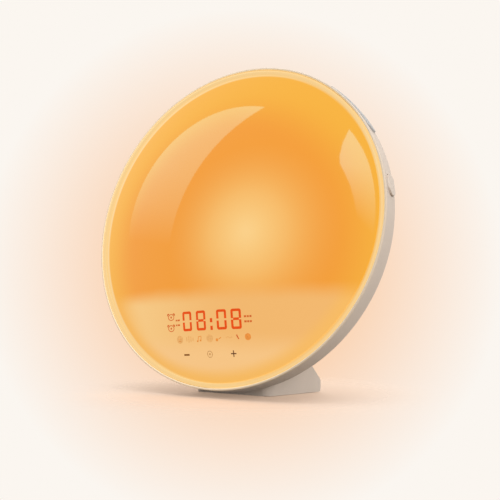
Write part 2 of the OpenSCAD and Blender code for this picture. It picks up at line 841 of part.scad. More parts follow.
module display_carrier() {
    skin_r = dome_in_r - part_gap;
    top_z = dome_h - web_z;
    color(white_plastic) in_head() field_side(false) difference() {
        union() {
            ring() {
                intersection() {
                    dome_skin(skin_r, skin_r - seat_t);
                    translate([0, web_z]) square([seat_r, top_z + over]);
                }
                intersection() {
                    translate([seat_r - seat_t, web_z]) square([seat_t, top_z]);
                    translate([0, dome_z]) circle(skin_r, $fn = 2 * fine);
                }
                translate([web_in_r + part_gap, web_z]) square([seat_r - web_in_r - part_gap, seat_t]);
            }
            intersection() {
                union() {
                    translate([-web_in_r, -field_drop - seat_t, tray_floor_z])
                        cube([2 * web_in_r, seat_t, dome_h - tray_floor_z]);
                    display_posts() rod(standoff_r, block_z - block_t, 0);
                }
                union() {
                    ring() intersection() {
                        translate([0, dome_z]) circle(skin_r - 0.1, $fn = 2 * fine);
                        translate([0, web_z]) square([seat_r - 0.5, top_z + over]);
                    }
                    translate([0, 0, tray_floor_z])
                        cylinder(r = web_in_r - 1, h = tray_drop + over_lap, $fn = fine);
                }
            }
        }
        display_frame() {
            translate([0, 0, block_z - 3]) linear_extrude(10)
                square([block_w + 2 * fit_gap, block_h + 2 * fit_gap], center = true);
            touch_places() rod(touch_pad_r + part_gap, block_z - 4, over);
        }
        display_posts() rod(small_pilot_r, block_z - block_t - over, block_z - 1);
        around(carrier_screw_angles, screw_ring_r) {
            rod(screw_d / 2 + fit_gap, web_z - over, web_z + seat_t + over);
            translate([0, -screw_head_d / 2 - 0.5, web_z + seat_t])
                cube([hook_room, screw_head_d + 1, screw_head_h + 1.5]);
        }
    }
}

module touch_places() {
    for (i = [-1 : 1]) translate([i * touch_pitch, display_drop - touch_drop]) children();
}

module carrier_screws() {
    color(steel) in_head() around(carrier_screw_angles, screw_ring_r)
        translate([0, 0, web_z + seat_t]) screw(seat_t + seat_screw_grip);
}

module display_board() {
    back_z = display_back_z;
    color(board_green) in_head() difference() {
        intersection() {
            display_frame() translate([-display_board_w / 2, -display_board_h[0], back_z])
                cube([display_board_w, display_board_h[0] + display_board_h[1], display_board_t]);
            rod(seat_r - seat_t - 1, -back_depth, dome_h);
        }
        display_posts() rod(small_hole_r, back_z - over, back_z + display_board_t + over);
    }
}

module display_board_screws() {
    color(steel) in_head() display_posts() translate([0, 0, display_back_z])
        rotate([180, 0, 0]) small_screw(display_board_t + board_t);
}

// One segment of a digit: a bar with pointed ends, lying along x
module segment_bar(l) {
    tip = l / 2;
    half = segment_w / 2;
    polygon([
        [-tip, 0], [half - tip, half], [tip - half, half],
        [tip, 0], [tip - half, -half], [half - tip, -half]
    ]);
}

// The seven bars in the order top, upper right, lower right, bottom, lower left, upper left, middle
module segment(k) {
    wide = digit_w - segment_w;
    tall = (digit_h - segment_w) / 2;
    places = [
        [0, tall, 0], [wide / 2, tall / 2, 90], [wide / 2, -tall / 2, 90], [0, -tall, 0],
        [-wide / 2, -tall / 2, 90], [-wide / 2, tall / 2, 90], [0, 0, 0]
    ];
    p = places[k];
    translate([p[0], p[1]]) rotate(p[2]) segment_bar((p[2] == 0 ? wide : tall) - segment_gap);
}

function is_lit(digit, k) = digit == 8 || k < 6;
function digit_x(i) =
    (i < 2 ? -1 : 1) * ((colon_w + digit_w) / 2 + (i == 0 || i == 3 ? digit_pitch : 0));

module segments(lit) {
    for (i = [0 : 3], k = [0 : 6]) if (is_lit(time_digits[i], k) == lit)
        translate([digit_x(i), 0]) segment(k);
    if (lit) for (drop = colon_drops) translate([0, -drop])
        square([colon_bar_w, colon_bar_h], center = true);
}

module display_block() {
    color(black_plastic) in_head() display_frame() difference() {
        translate([0, 0, block_z - block_t]) linear_extrude(block_t)
            square([block_w, block_h], center = true);
        translate([0, 0, block_z - segment_t]) linear_extrude(segment_t + over) {
            segments(true);
            segments(false);
        }
    }
}

module segment_fill(lit) {
    in_head() display_frame() translate([0, 0, block_z - segment_t])
        linear_extrude(segment_t) segments(lit);
}

module lit_segments() {
    color("#EB5014") segment_fill(true);
}

module dark_segments() {
    color("#7A6A5C") segment_fill(false);
}

module touch_pads() {
    reach = norm([touch_pitch + touch_pad_r, touch_drop - display_drop + touch_pad_r]);
    fall = dome_in_r - sqrt(pow(dome_in_r, 2) - pow(reach, 2));
    color("#4A4A4A") in_head() display_frame() touch_places()
        rod(touch_pad_r, block_z - block_t, -panel_wall - fall - pilot_gap);
}

module display_ribbon() {
    start = from_dome(display_drop, -block_t - 1, display_back_z - 0.1);
    end = [main_board_y - 2, main_board_z + board_t];
    path = [start, start + [1.2, -5], [-field_drop - 2 * part_gap, end[1] + 6], end];
    color("#D9D4C4") in_head() side_extrude(ribbon_w)
        polygon(concat(path, [for (i = [3 : -1 : 0]) path[i] + [ribbon_t, 0]]));
}

// ---- Main board, sockets and coin cell ----

module main_board() {
    color(board_green) in_head() difference() {
        translate([0, main_board_y, main_board_z]) linear_extrude(board_t)
            rounded_plate(main_board_w, main_board_h, 2);
        main_board_corners() rod(small_hole_r, main_board_z - over, main_board_z + board_t + over);
    }
}

module main_board_parts() {
    top = main_board_z + board_t;
    side = main_board_w / 2;
    capacitor_r = 2.5;
    color(black_plastic) in_head() translate([0, main_board_y, 0]) {
        translate([18 - side, -2, top]) radio_module();
        translate([side - 22, 6, top]) flat_part(10, 10, 1.6);
        translate([side - 32, -9, top]) flat_part(6, 5, 1.5);
        for (x = [6, 12]) translate([side - x, -6]) rod(capacitor_r, top, top + 6);
        translate([-8, 4, main_board_z - 3.2]) flat_part(7, 7, 3.2);
    }
}

module flat_part(w, l, t) {
    linear_extrude(t) square([w, l], center = true);
}

// Wireless module: a small board under a shield can
module radio_module() {
    module_board_t = 0.8;
    flat_part(16, 24, module_board_t);
    translate([0, -3, module_board_t]) flat_part(14, 16, 2.2);
}

module main_board_screws() {
    color(steel) in_head() main_board_corners() translate([0, 0, main_board_z + board_t])
        small_screw(board_t + small_grip);
}

module power_inlet() {
    low = floor_z + fit_gap;
    color(black_plastic) in_head() translate(inlet_at) difference() {
        union() {
            translate([0, 0, low]) linear_extrude(main_board_z - low) square(inlet_body, center = true);
            rod(inlet_nose_r, socket_z, floor_z + over);
        }
        rod(inlet_bore / 2, socket_z - over, socket_z + inlet_deep);
    }
}

module power_inlet_pin() {
    color(steel) in_head() translate(inlet_at) rod(inlet_pin_r, socket_z + 1, socket_z + inlet_deep);
}

module usb_socket() {
    color(steel) in_head() translate([usb_at[0], usb_at[1], socket_z]) difference() {
        linear_extrude(main_board_z - socket_z) square([usb_w, usb_h], center = true);
        translate([0, 0, -over]) linear_extrude(usb_deep + over)
            square([usb_w - 2 * usb_wall, usb_h - 2.2 * usb_wall], center = true);
    }
}

module usb_tongue() {
    inset = 0.8;                                    // of its tip behind the socket's mouth
    color(white_plastic) in_head() translate([usb_at[0], usb_at[1] + 1.1, socket_z + inset])
        linear_extrude(usb_deep - inset) square([usb_w - 3.4, 1.9], center = true);
}

module coin_cell() {
    top = cell_floor_z - contact_t;
    color(steel) in_head() translate(cell_at) {
        rod(cell_d / 2, top - cell_t + 0.5, top);
        rod(cell_d / 2 - 1.6, top - cell_t, top);
    }
}

module cell_contact() {
    color(brass) in_head() translate(cell_at) tube(7, 4, cell_floor_z - contact_t, cell_floor_z);
}

module cell_door() {
    inner_z = door_t - back_depth;
    color(cream) in_head() translate(cell_at) difference() {
        union() {
            translate([0, 0, -back_depth]) linear_extrude(door_t) door_outline(0);
            tube(6.5, 5.5, inner_z - over_lap, inner_z + door_gap - 0.1);
        }
        translate([door_ear, 0]) {
            rod(small_hole_r, -back_depth - over, inner_z + over);
            rod(small_head_d / 2 + fit_gap, -back_depth - over, inner_z - ear_t);
        }
        translate([0, 3 - door_r, -back_depth - over]) linear_extrude(over + 0.8) pill(8, 1.6);
    }
}

module cell_door_screw() {
    color(steel) in_head() translate([cell_at[0] + door_ear, cell_at[1], door_t - ear_t - back_depth])
        rotate([180, 0, 0]) screw(ear_t + 3, small_screw_d, small_head_d, door_t - ear_t);
}

// ---- Speaker ----

module speaker_frame() {
    top = speaker_back_z + speaker_h - magnet_t;
    r = speaker_d / 2;
    sheet = 1.2;
    color("#55585C") in_head() translate([0, speaker_y]) difference() {
        ring(96) polygon([
            [r - 4, speaker_back_z], [r, speaker_back_z],
            [r, speaker_flange_z], [r - 1.5, speaker_flange_z],
            [r - 6, top], [6, top], [6, top - sheet], [r - 6.8, top - sheet],
            [r - 4, speaker_flange_z - 0.6]
        ]);
        for (a = [0 : 60 : 300]) rotate(a) translate([r - 5.5, 0, speaker_back_z + 6])
            rotate([0, 90, 0]) cylinder(d = 4, h = 8, center = true);
    }
}

module speaker_cone() {
    r = speaker_d / 2;
    color("#2B2B2B") in_head() translate([0, speaker_y, speaker_back_z]) ring(96) polygon([
        [0, 2], [4, 2.6], [5.5, 4.2], [r - 7.5, 0.8], [r - 5.5, 0.2],
        [r - 4, 0.2], [r - 4, 0.8], [r - 5.3, 1], [r - 7.3, 1.6],
        [5.6, 5], [5.6, 7.6], [5.1, 7.6], [5.1, 4.6], [3.6, 3.2], [0, 2.6]
    ]);
}

module speaker_magnet() {
    top = speaker_back_z + speaker_h;
    color("#8C8F93") in_head() translate([0, speaker_y]) rod(speaker_d / 4 + 1, top - magnet_t, top);
}

module speaker_gasket() {
    r = speaker_d / 2 - gasket_inset;
    color(black_plastic) in_head() translate([0, speaker_y]) tube(r, r - gasket_w, floor_z, speaker_back_z);
}

module speaker_screws() {
    washer_d = 6;
    color(steel) in_head() speaker_corners() translate([0, 0, speaker_flange_z])
        screw(speaker_flange_z - floor_z, small_screw_d, washer_d, small_head_h);
}

module speaker_wires() {
    top = main_board_z + board_t;
    wire_t = 1.1;
    wire_pitch = 3;
    low_y = speaker_y - speaker_d / 2;
    path = [
        [main_board_top - 3, top], [main_board_top - 1, top + 3],
        [low_y - 2, top + 3], [low_y + 4.6, main_board_z - 1.6]
    ];
    color("#A03028") in_head() for (side = [-1, 1]) translate([side * wire_pitch / 2, 0, 0])
        side_extrude(wire_t)
            polygon(concat(path, [for (i = [3 : -1 : 0]) path[i] + [0.4, wire_t]]));
}

// ---- Rear keys ----

module function_board() {
    color(board_green) in_head() difference() {
        translate([0, rear_key_y, function_board_z]) linear_extrude(board_t)
            rounded_plate(function_board_w, function_board_h, 1.5);
        function_board_ends() rod(small_hole_r, function_board_z - over, function_board_z + board_t + over);
    }
}

module function_board_screws() {
    color(steel) in_head() function_board_ends() translate([0, 0, function_board_z + board_t])
        small_screw(board_t + small_grip);
}

module rear_key_place(i) {
    in_head() translate([rear_key_x(i), rear_key_y]) children();
}

module rear_switches() {
    low = rear_switch_z + plunger_in + rear_key_travel + part_gap;
    color(black_plastic) for (i = [1 : rear_key_count]) rear_key_place(i) difference() {
        translate([0, 0, rear_switch_z]) flat_part(switch_w, switch_w, rear_switch_t);
        rod(rear_post_r + plunger_gap, rear_switch_z - over, low);
    }
}

module rear_key(i) {
    outer_z = -back_depth - rear_key_proud;
    color(pale_grey) rear_key_place(i) {
        translate([0, 0, outer_z]) linear_extrude(rear_flange_z - outer_z) pill(rear_key_w, rear_key_h);
        translate([0, 0, rear_flange_z]) linear_extrude(key_flange_t)
            pill(rear_key_w + 2 * key_flange, rear_key_h + 1.6);
        rod(rear_post_r - 0.2, rear_flange_z, rear_post_z);
    }
}

module rear_plunger(i) {
    color(black_plastic) rear_key_place(i) rod(rear_post_r, rear_post_z, rear_switch_z + plunger_in);
}

module rear_key_1() { rear_key(1); }
module rear_key_2() { rear_key(2); }
module rear_key_3() { rear_key(3); }
module rear_key_4() { rear_key(4); }
module rear_plunger_1() { rear_plunger(1); }
module rear_plunger_2() { rear_plunger(2); }
module rear_plunger_3() { rear_plunger(3); }
module rear_plunger_4() { rear_plunger(4); }

// ---- Rim keys ----

module key_board() {
    color(board_green) in_head() difference() {
        key_board_sector(0) translate([key_board_in_r, web_z])
            square([key_board_out_r - key_board_in_r, key_board_t]);
        around(key_board_screw_angles, screw_ring_r)
            rod(small_hole_r, web_z - over, web_z + key_board_t + over);
    }
}

module key_board_screws() {
    color(steel) in_head() around(key_board_screw_angles, screw_ring_r)
        translate([0, 0, web_z + key_board_t]) small_screw(key_board_t + 3);
}

// A pill that points outwards along x, its ends on rings of two radii, its outer edge rounded
module key_bar(length, r_low, r_high, edge) {
    low = -key_depth - key_h / 2;
    high = key_h / 2 - key_depth;
    intersection() {
        translate([0, 0, -key_depth]) rotate([90, 0, 90]) linear_extrude(2 * r_high) pill(length, key_h);
        ring() polygon(rounded(
            [[r_low, low], [r_high, low], [r_high, high], [r_low, high]], [0, edge, edge, 0]
        ));
    }
}

module rim_key(arc_deg, at, proud, finish) {
    length = key_length(arc_deg);
    color(finish) in_head() rotate(at) {
        key_bar(length, key_inner_r, rim_r + proud, 1);
        key_bar(length + 2 * key_flange, key_inner_r, key_inner_r + key_flange_t, 0);
        translate([plunger_tip_r, -key_post_w / 2, -key_depth - key_post_h / 2])
            cube([key_inner_r - plunger_tip_r + fit_gap, key_post_w, key_post_h]);
    }
}

module rim_plunger(at) {
    start = switch_out_r - plunger_in;
    color(black_plastic) in_head() rotate(at) translate([start, 0, -key_depth]) rotate([0, 90, 0])
        cylinder(r = plunger_r, h = plunger_tip_r - start);
}

module rim_switch(at) {
    low = web_z + key_board_t;
    start = switch_out_r - plunger_in - key_travel - part_gap;
    color(black_plastic) in_head() rotate(at) difference() {
        translate([switch_out_r - switch_deep, -switch_w / 2, low])
            cube([switch_deep, switch_w, switch_high - low]);
        translate([start, 0, -key_depth]) rotate([0, 90, 0])
            cylinder(r = plunger_r + plunger_gap, h = switch_out_r - start + over);
    }
}

module snooze_key() { rim_key(snooze_arc, snooze_at, snooze_proud, pale_grey); }
module snooze_plunger() { rim_plunger(snooze_at); }
module snooze_switch() { rim_switch(snooze_at); }
module light_key() { rim_key(light_arc, light_at, light_proud, cream); }
module light_plunger() { rim_plunger(light_at); }
module light_switch() { rim_switch(light_at); }

light_panel();
rim_band();
rear_shell();
foot();
foot_pad();
foot_screws();
shell_screws();
reflector_tray();
tray_screws();
light_board();
light_leds();
light_board_screws();
light_pins();
display_carrier();
carrier_screws();
display_board();
display_board_screws();
display_block();
lit_segments();
dark_segments();
touch_pads();
display_ribbon();
main_board();
main_board_parts();
main_board_screws();
power_inlet();
power_inlet_pin();
usb_socket();
usb_tongue();
speaker_frame();
speaker_cone();
speaker_magnet();
speaker_gasket();
speaker_screws();
speaker_wires();
function_board();
function_board_screws();
rear_switches();
rear_key_1();
rear_key_2();
rear_key_3();
rear_key_4();
rear_plunger_1();
rear_plunger_2();
rear_plunger_3();
rear_plunger_4();
key_board();
key_board_screws();
snooze_key();
snooze_plunger();
snooze_switch();
light_key();
light_plunger();
light_switch();
coin_cell();
cell_contact();
cell_door();
cell_door_screw();
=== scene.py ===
# %% [markdown]
# # A sunrise alarm clock that glows
# The clock is a round head on a wedge foot. Its whole front is an opal dome lit from behind, so it is a
# lamp more than a painted surface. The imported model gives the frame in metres: X to the viewer's right,
# the dome towards -Y, Z up. Everything that is added here sits in that frame.

# %% Frame
import json
import math

import bpy
from mathutils import Euler, Matrix, Vector


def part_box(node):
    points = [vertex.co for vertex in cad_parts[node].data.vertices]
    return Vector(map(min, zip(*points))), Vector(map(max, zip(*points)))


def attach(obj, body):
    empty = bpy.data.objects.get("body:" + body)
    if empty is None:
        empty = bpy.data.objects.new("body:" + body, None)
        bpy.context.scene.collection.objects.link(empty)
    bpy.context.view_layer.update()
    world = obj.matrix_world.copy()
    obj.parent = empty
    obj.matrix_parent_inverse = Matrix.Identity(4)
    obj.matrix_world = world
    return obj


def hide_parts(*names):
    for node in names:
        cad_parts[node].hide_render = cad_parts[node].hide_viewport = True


MM = 0.001
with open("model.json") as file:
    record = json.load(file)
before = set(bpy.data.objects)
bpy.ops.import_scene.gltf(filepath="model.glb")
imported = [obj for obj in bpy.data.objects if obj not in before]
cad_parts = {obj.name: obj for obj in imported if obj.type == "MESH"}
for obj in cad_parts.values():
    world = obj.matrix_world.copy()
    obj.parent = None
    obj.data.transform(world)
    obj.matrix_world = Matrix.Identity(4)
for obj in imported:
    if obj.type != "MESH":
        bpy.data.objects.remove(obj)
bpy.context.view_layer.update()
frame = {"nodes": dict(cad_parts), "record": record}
nodes = frame["nodes"]

# %% [markdown]
# The head leans back by 10 degrees, so its pieces are easiest to draw in its own frame: millimetres, with
# x to the right, y up the dome and z towards the viewer. The dome is part of a sphere. The light panel's
# box fixes the head's place: its bead is as wide as the box, and its middle is the head's middle.

# %% The head's own frame
LEAN = math.radians(10)
PANEL_R = 89.6
DOME_BASE_R = 86.8
DOME_H = 16.0
DOME_EDGE_Z = 0.4
DOME_R = (DOME_BASE_R**2 + DOME_H**2) / (2 * DOME_H)
DOME_Z = DOME_EDGE_Z + DOME_H - DOME_R
RIM_R = 91.0
RIM_DEPTH = 11.2
RIM_LIFT = 2.0
HEAD_Y = -20.9
HEAD_Z = RIM_LIFT + RIM_R * math.cos(LEAN) + RIM_DEPTH * math.sin(LEAN)

head_turn = Euler((math.pi / 2 - LEAN, 0, 0))
head_move = Matrix.Translation((0, HEAD_Y * MM, HEAD_Z * MM))
HEAD = head_move @ head_turn.to_matrix().to_4x4() @ Matrix.Scale(MM, 4)


def dome_point(x, y, lift=0.0):
    """A point of the dome, in head millimetres, lifted off it along the sphere's radius."""
    on_sphere = Vector((x, y, math.sqrt(DOME_R**2 - x * x - y * y)))
    return on_sphere * ((DOME_R + lift) / DOME_R) + Vector((0, 0, DOME_Z))


low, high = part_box("light_panel")
print("panel half width:", round((high.x - low.x) / 2 / MM, 2), "drawn:", PANEL_R)
print("head middle:", [round(v, 4) for v in HEAD.translation])
print("dome's apex:", [round(v, 4) for v in HEAD @ dome_point(0, 0)])

# %% [markdown]
# ## The camera
# The photograph looks a little up at the clock from its right-hand side, from about 40 cm away. These
# numbers come from fitting the rim's two ellipses, the display and the foot: a place in millimetres from
# the head's middle, and two angles in degrees.

# %% Camera
CAMERA_FROM_HEAD = Vector((211.5, -326.9, -48.0)) * MM
LOOK_UP = 4.805
LOOK_LEFT = 31.16
SENSOR_MM = 36
LENS_MM = 51.46
NEAREST = 0.01

camera = bpy.data.objects.new("camera", bpy.data.cameras.new("camera"))
bpy.context.scene.collection.objects.link(camera)
camera.location = HEAD.translation + CAMERA_FROM_HEAD
camera.rotation_euler = Euler((math.radians(90 + LOOK_UP), 0, math.radians(LOOK_LEFT)))
camera.data.sensor_width = SENSOR_MM
camera.data.lens = LENS_MM
camera.data.clip_start = NEAREST
bpy.context.scene.camera = camera
print("camera:", [round(v, 4) for v in camera.location])

# %% [markdown]
# ## Tools for materials
# A colour is written as it looks on a screen and turned into the linear values that light is added in.
# One small function adds a shader node with its settings and its inputs, so a material reads from top to
# bottom like a recipe. Where an input is given a node, it takes that node's main output.
#
# Two nodes come up again and again. Map Range takes a value at input 0, the two ends of its range at 1 and
# 2, and the two ends of the result at 3 and 4, which are 0 and 1 unless they are given. A colour Mix takes
# its share at input 0 and its two colours at 6 and 7.

# %% Colour and node helpers
bpy.context.scene.view_settings.view_transform = "Standard"


def linear(hex_colour):
    """An sRGB hex colour as linear RGBA."""
    parts = [int(hex_colour[i : i + 2], 16) / 255 for i in (1, 3, 5)]
    return [c / 12.92 if c <= 0.04045 else ((c + 0.055) / 1.055) ** 2.4 for c in parts] + [1.0]


def add(tree, kind, settings=None, inputs=None):
    """A shader node. Its inputs are values, sockets or other nodes, by name or number."""
    made = tree.nodes.new("ShaderNode" + kind)
    for name, value in (settings or {}).items():
        setattr(made, name, value)
    for name, value in (inputs or {}).items():
        if isinstance(value, bpy.types.Node):
            value = next(output for output in value.outputs if output.enabled)
        if isinstance(value, bpy.types.NodeSocket):
            tree.links.new(value, made.inputs[name])
        else:
            made.inputs[name].default_value = value
    return made


def new_material(name):
    """An empty node material and its tree."""
    material = bpy.data.materials.new(name)
    material.use_nodes = True
    material.node_tree.nodes.clear()
    return material, material.node_tree


COLOUR = {"data_type": "RGBA"}
SMOOTH = {"interpolation_type": "SMOOTHSTEP"}
BLACK = (0, 0, 0, 1)
print("mid grey in linear light:", round(linear("#808080")[0], 3))

# %% [markdown]
# ## Warm light on the lip
# The lit bead at the dome's edge shines on the thin lip of the housing beside it. A real light there
# would be slow and grainy to render, so the spill is painted by its place in the head's frame, on the
# last 2 mm below the lip's edge. It is strongest on the left, where the lip is seen against the halo, and
# weak on the right, where the light in front of the clock reaches it. The lip's inner wall faces the
# bead, so it gets most of all.

# %% Places in the head
def head_place(tree):
    """Where a surface point is in the head's frame, in millimetres."""
    seen = add(tree, "TexCoord").outputs["Object"]
    return add(tree, "Mapping", {"vector_type": "TEXTURE"}, {
        "Vector": seen,
        "Location": HEAD.translation,
        "Rotation": head_turn,
        "Scale": (MM, MM, MM),
    })


print("head turned by", round(math.degrees(head_turn.x), 1), "degrees")

# %% Spill from the bead
SPILL_LEFT = "#8E7757"
SPILL_RIGHT = "#4F3F10"
SPILL_WALL = "#AA9059"
WALL_END = 89.95
FACE_START = 90.35
SPILL_FROM = -1.3
SPILL_FULL = 0.9
RIGHT_OF = 60.0
LEFT_OF = -40.0


def bead_spill(tree):
    """The bead's warm light on the lip beside it, stronger and paler towards the left."""
    place = head_place(tree)
    across, _, height = add(tree, "SeparateXYZ", {}, {0: place}).outputs
    near = add(tree, "MapRange", SMOOTH, {0: height, 1: SPILL_FROM, 2: SPILL_FULL})
    leftward = add(tree, "MapRange", SMOOTH, {0: across, 1: RIGHT_OF, 2: LEFT_OF})
    light = add(tree, "Mix", COLOUR, {0: leftward, 6: linear(SPILL_RIGHT), 7: linear(SPILL_LEFT)})
    flat = add(tree, "VectorMath", {"operation": "MULTIPLY"}, {0: place, 1: (1, 1, 0)})
    from_axis = add(tree, "VectorMath", {"operation": "LENGTH"}, {0: flat})
    on_face = add(tree, "MapRange", SMOOTH, {0: from_axis, 1: WALL_END, 2: FACE_START})
    light = add(tree, "Mix", COLOUR, {0: on_face, 6: linear(SPILL_WALL), 7: light})
    return add(tree, "Mix", COLOUR, {0: near, 6: BLACK, 7: light})


print("spill of light:", SPILL_FULL - SPILL_FROM, "mm deep")

# %% [markdown]
# ## Moulded plastics
# The housing is ABS, shot into a spark-eroded steel mould. That leaves a fine satin grain of about a
# tenth of a millimetre, a colour that is even but not flat, and a roughness near 0.5. It gives the eye
# a soft sheen with no sharp reflection. A pixel of the picture covers half a millimetre, so a grain at
# its real size would only flicker: it is drawn at 0.7 mm, and very shallow. Tone and polish change slowly
# over 9 mm, as they do where the plastic cooled unevenly. Noise stays mostly between 0.3 and 0.7, so
# that range is stretched to the whole change.

# %% Plastic recipe
GRAIN_MM = 0.7
GRAIN_DEPTH_MM = 0.02
MOTTLE_MM = 9.0
MOTTLE = 0.02
POLISH_CHANGE = 0.05
LOW_NOISE = 0.3
HIGH_NOISE = 0.7
ABS_IOR = 1.54


def moulded_plastic(name, hex_colour, roughness, bump, grain_mm=GRAIN_MM, mottle=MOTTLE, spill=None):
    """Moulded plastic: satin grain, slow changes of tone and of polish."""
    material, tree = new_material(name)
    place = add(tree, "TexCoord").outputs["Object"]
    grain = add(tree, "TexNoise", {}, {"Vector": place, "Scale": 1 / (grain_mm * MM), "Detail": 2.0})
    slow = add(tree, "TexNoise", {}, {"Vector": place, "Scale": 1 / (MOTTLE_MM * MM), "Detail": 3.0})
    pale = linear(hex_colour)
    deep = [c * (1 - 2 * mottle) for c in pale[:3]] + [1.0]
    share = add(tree, "MapRange", SMOOTH, {0: slow, 1: LOW_NOISE, 2: HIGH_NOISE})
    polish = add(tree, "MapRange", {}, {
        0: slow,
        1: LOW_NOISE,
        2: HIGH_NOISE,
        3: roughness - POLISH_CHANGE,
        4: roughness + POLISH_CHANGE,
    })
    shader = add(tree, "BsdfPrincipled", {}, {
        "Base Color": add(tree, "Mix", COLOUR, {0: share, 6: deep, 7: pale}),
        "Roughness": polish,
        "IOR": ABS_IOR,
        "Normal": add(tree, "Bump", {}, {"Strength": bump, "Distance": GRAIN_DEPTH_MM * MM, "Height": grain}),
    })
    if spill:
        tree.links.new(spill(tree).outputs[2], shader.inputs["Emission Color"])
        shader.inputs["Emission Strength"].default_value = 1.0
    add(tree, "OutputMaterial", {}, {"Surface": shader})
    return material


print("grain:", GRAIN_MM, "mm, tone changes over", MOTTLE_MM, "mm")

# %% [markdown]
# The keys come from a finer mould, and fingers polish their faces: they look smoother than the case, with
# a longer grain. Every other plastic follows the same recipe, with its own colour, roughness, depth of
# grain, grain size and mottle. White ABS and black nylon are plain inner mouldings with a satin face.
# Die-cut rubber and conductive foam are rough and coarse, so they look dull. Pressed paper shows its
# fibres. PVC sheath, the flat ribbon and the unlit bars are smooth and take a small highlight. The LEDs'
# phosphor is a soft yellow cap, and solder mask is a thin glossy lacquer over the copper.

# %% Housing and keys
CREAM = "#DACBBD"
PALE_GREY = "#B3B2B1"
materials = {
    "cream_case": moulded_plastic("spark_eroded_cream_abs", CREAM, 0.5, 0.5, spill=bead_spill),
    "cream_key": moulded_plastic("fine_satin_cream_abs", CREAM, 0.4, 0.08, 1.0),
    "grey_key": moulded_plastic("fine_satin_grey_abs", PALE_GREY, 0.45, 0.05, 1.5),
    "white_plastic": moulded_plastic("plain_white_abs", "#F0EEE8", 0.45, 0.2),
    "black_plastic": moulded_plastic("plain_black_nylon", "#262626", 0.5, 0.3),
    "rubber_pad": moulded_plastic("die_cut_dark_rubber", "#3A3A38", 0.8, 0.6, 0.6, 0.06),
    "touch_foam": moulded_plastic("conductive_grey_foam", "#4A4A4A", 0.95, 0.9, 0.5, 0.08),
    "ribbon": moulded_plastic("flat_grey_ribbon", "#D9D4C4", 0.5, 0.2, 0.6),
    "wire_sheath": moulded_plastic("red_pvc_sheath", "#A03028", 0.4, 0.1),
    "speaker_paper": moulded_plastic("pressed_black_paper", "#2B2B2B", 0.85, 0.8, 0.6, 0.08),
    "dark_segment": moulded_plastic("unlit_display_bar", "#7A6A5C", 0.35, 0.1),
    "led": moulded_plastic("yellow_phosphor", "#FFE7A0", 0.4, 0.3, 0.3),
    "white_board": moulded_plastic("white_solder_mask", "#EDEDE8", 0.3, 0.1, 0.5),
    "green_board": moulded_plastic("green_solder_mask", "#2F6B45", 0.3, 0.1, 0.5),
}
print("plastics:", len(materials))

# %% [markdown]
# ## Metals
# Screws and contacts are bare or plated metal, turned or stamped and then tumbled. A metal has no
# diffuse colour: its tint is in its reflection. Fine scratches of about a twentieth of a millimetre break
# the highlight up. Zinc on steel looks cool and bright, gold on brass looks warm and is the smoothest,
# and the speaker's pressed steel is darker and duller.

# %% Metal recipe
SCRATCH_MM = 0.05
SCRATCH_DEPTH_MM = 0.01
SCRATCH_BUMP = 0.2
WEAR = 0.08


def tumbled_metal(name, hex_colour, roughness):
    """Tumbled metal: bright, with fine scratches in its polish."""
    material, tree = new_material(name)
    place = add(tree, "TexCoord").outputs["Object"]
    fine = add(tree, "TexNoise", {}, {"Vector": place, "Scale": 1 / (SCRATCH_MM * MM), "Detail": 4.0})
    polish = add(tree, "MapRange", {}, {
        0: fine,
        1: LOW_NOISE,
        2: HIGH_NOISE,
        3: roughness - WEAR,
        4: roughness + WEAR,
    })
    relief = {"Strength": SCRATCH_BUMP, "Distance": SCRATCH_DEPTH_MM * MM, "Height": fine}
    shader = add(tree, "BsdfPrincipled", {}, {
        "Base Color": linear(hex_colour),
        "Metallic": 1.0,
        "Roughness": polish,
        "Normal": add(tree, "Bump", {}, relief),
    })
    add(tree, "OutputMaterial", {}, {"Surface": shader})
    return material


materials["steel"] = tumbled_metal("zinc_plated_steel", "#B9BCC0", 0.32)
materials["brass"] = tumbled_metal("gold_plated_brass", "#D9B45A", 0.25)
materials["speaker_steel"] = tumbled_metal("pressed_dark_steel", "#77797D", 0.45)
print("materials so far:", len(materials))

# %% [markdown]
# ## The lit dome
# The panel is opal polycarbonate, moulded in a polished mould: tiny particles in it scatter the light of
# the LEDs, so it glows from its whole depth under a glossy skin. What the eye sees is mostly that glow:
# a bright yellow-white pool over the LEDs, deep orange round it and yellower light at the rim, where
# the wall of the housing throws light back. Below, a white carrier behind the panel makes a paler field
# with a soft top edge. The bead at the edge is thick plastic and glows palest.
#
# Light that scatters through a real volume takes very long to render, so the glow is painted by place in
# the head's frame. Most of each colour is emitted and the rest is plain surface colour, which the room
# lights, so the dome still looks solid. The glossy skin adds about 0.04 of the pale room everywhere, and
# that share is taken off each colour first. In the picture the display is turned by about three degrees
# and the field's upper edge by about two, and both are followed here.

# %% Shares of light
SKIN = 0.042
EMITTED = 0.895
PLAIN = 0.12
LEAST = 0.002


def under_skin(hex_colour):
    """A glow colour without what the glossy skin reflects."""
    return [max(LEAST, c - SKIN) for c in linear(hex_colour)[:3]] + [1.0]


print("emitted share:", EMITTED, "plain share:", PLAIN)

# %% [markdown]
# The pool of light is a ramp of colours by distance from its middle. Further out the orange turns yellow
# towards the rim. All distances and spans below are head millimetres.

# %% The orange above
GLOW_AT = (21.5, -11.0)
GLOW_REACH = 50.0
POOL = [
    (0.0, "#FDD48F"),
    (0.2, "#FBCB80"),
    (0.44, "#F8BC6B"),
    (0.62, "#F6AF59"),
    (0.8, "#F5A54B"),
    (1.0, "#F5A040"),
]
WARM_AT = (5.0, -13.0)
RIM_GLOW = "#F7B446"
RIM_FROM = 60.0
RIM_TO = 88.0


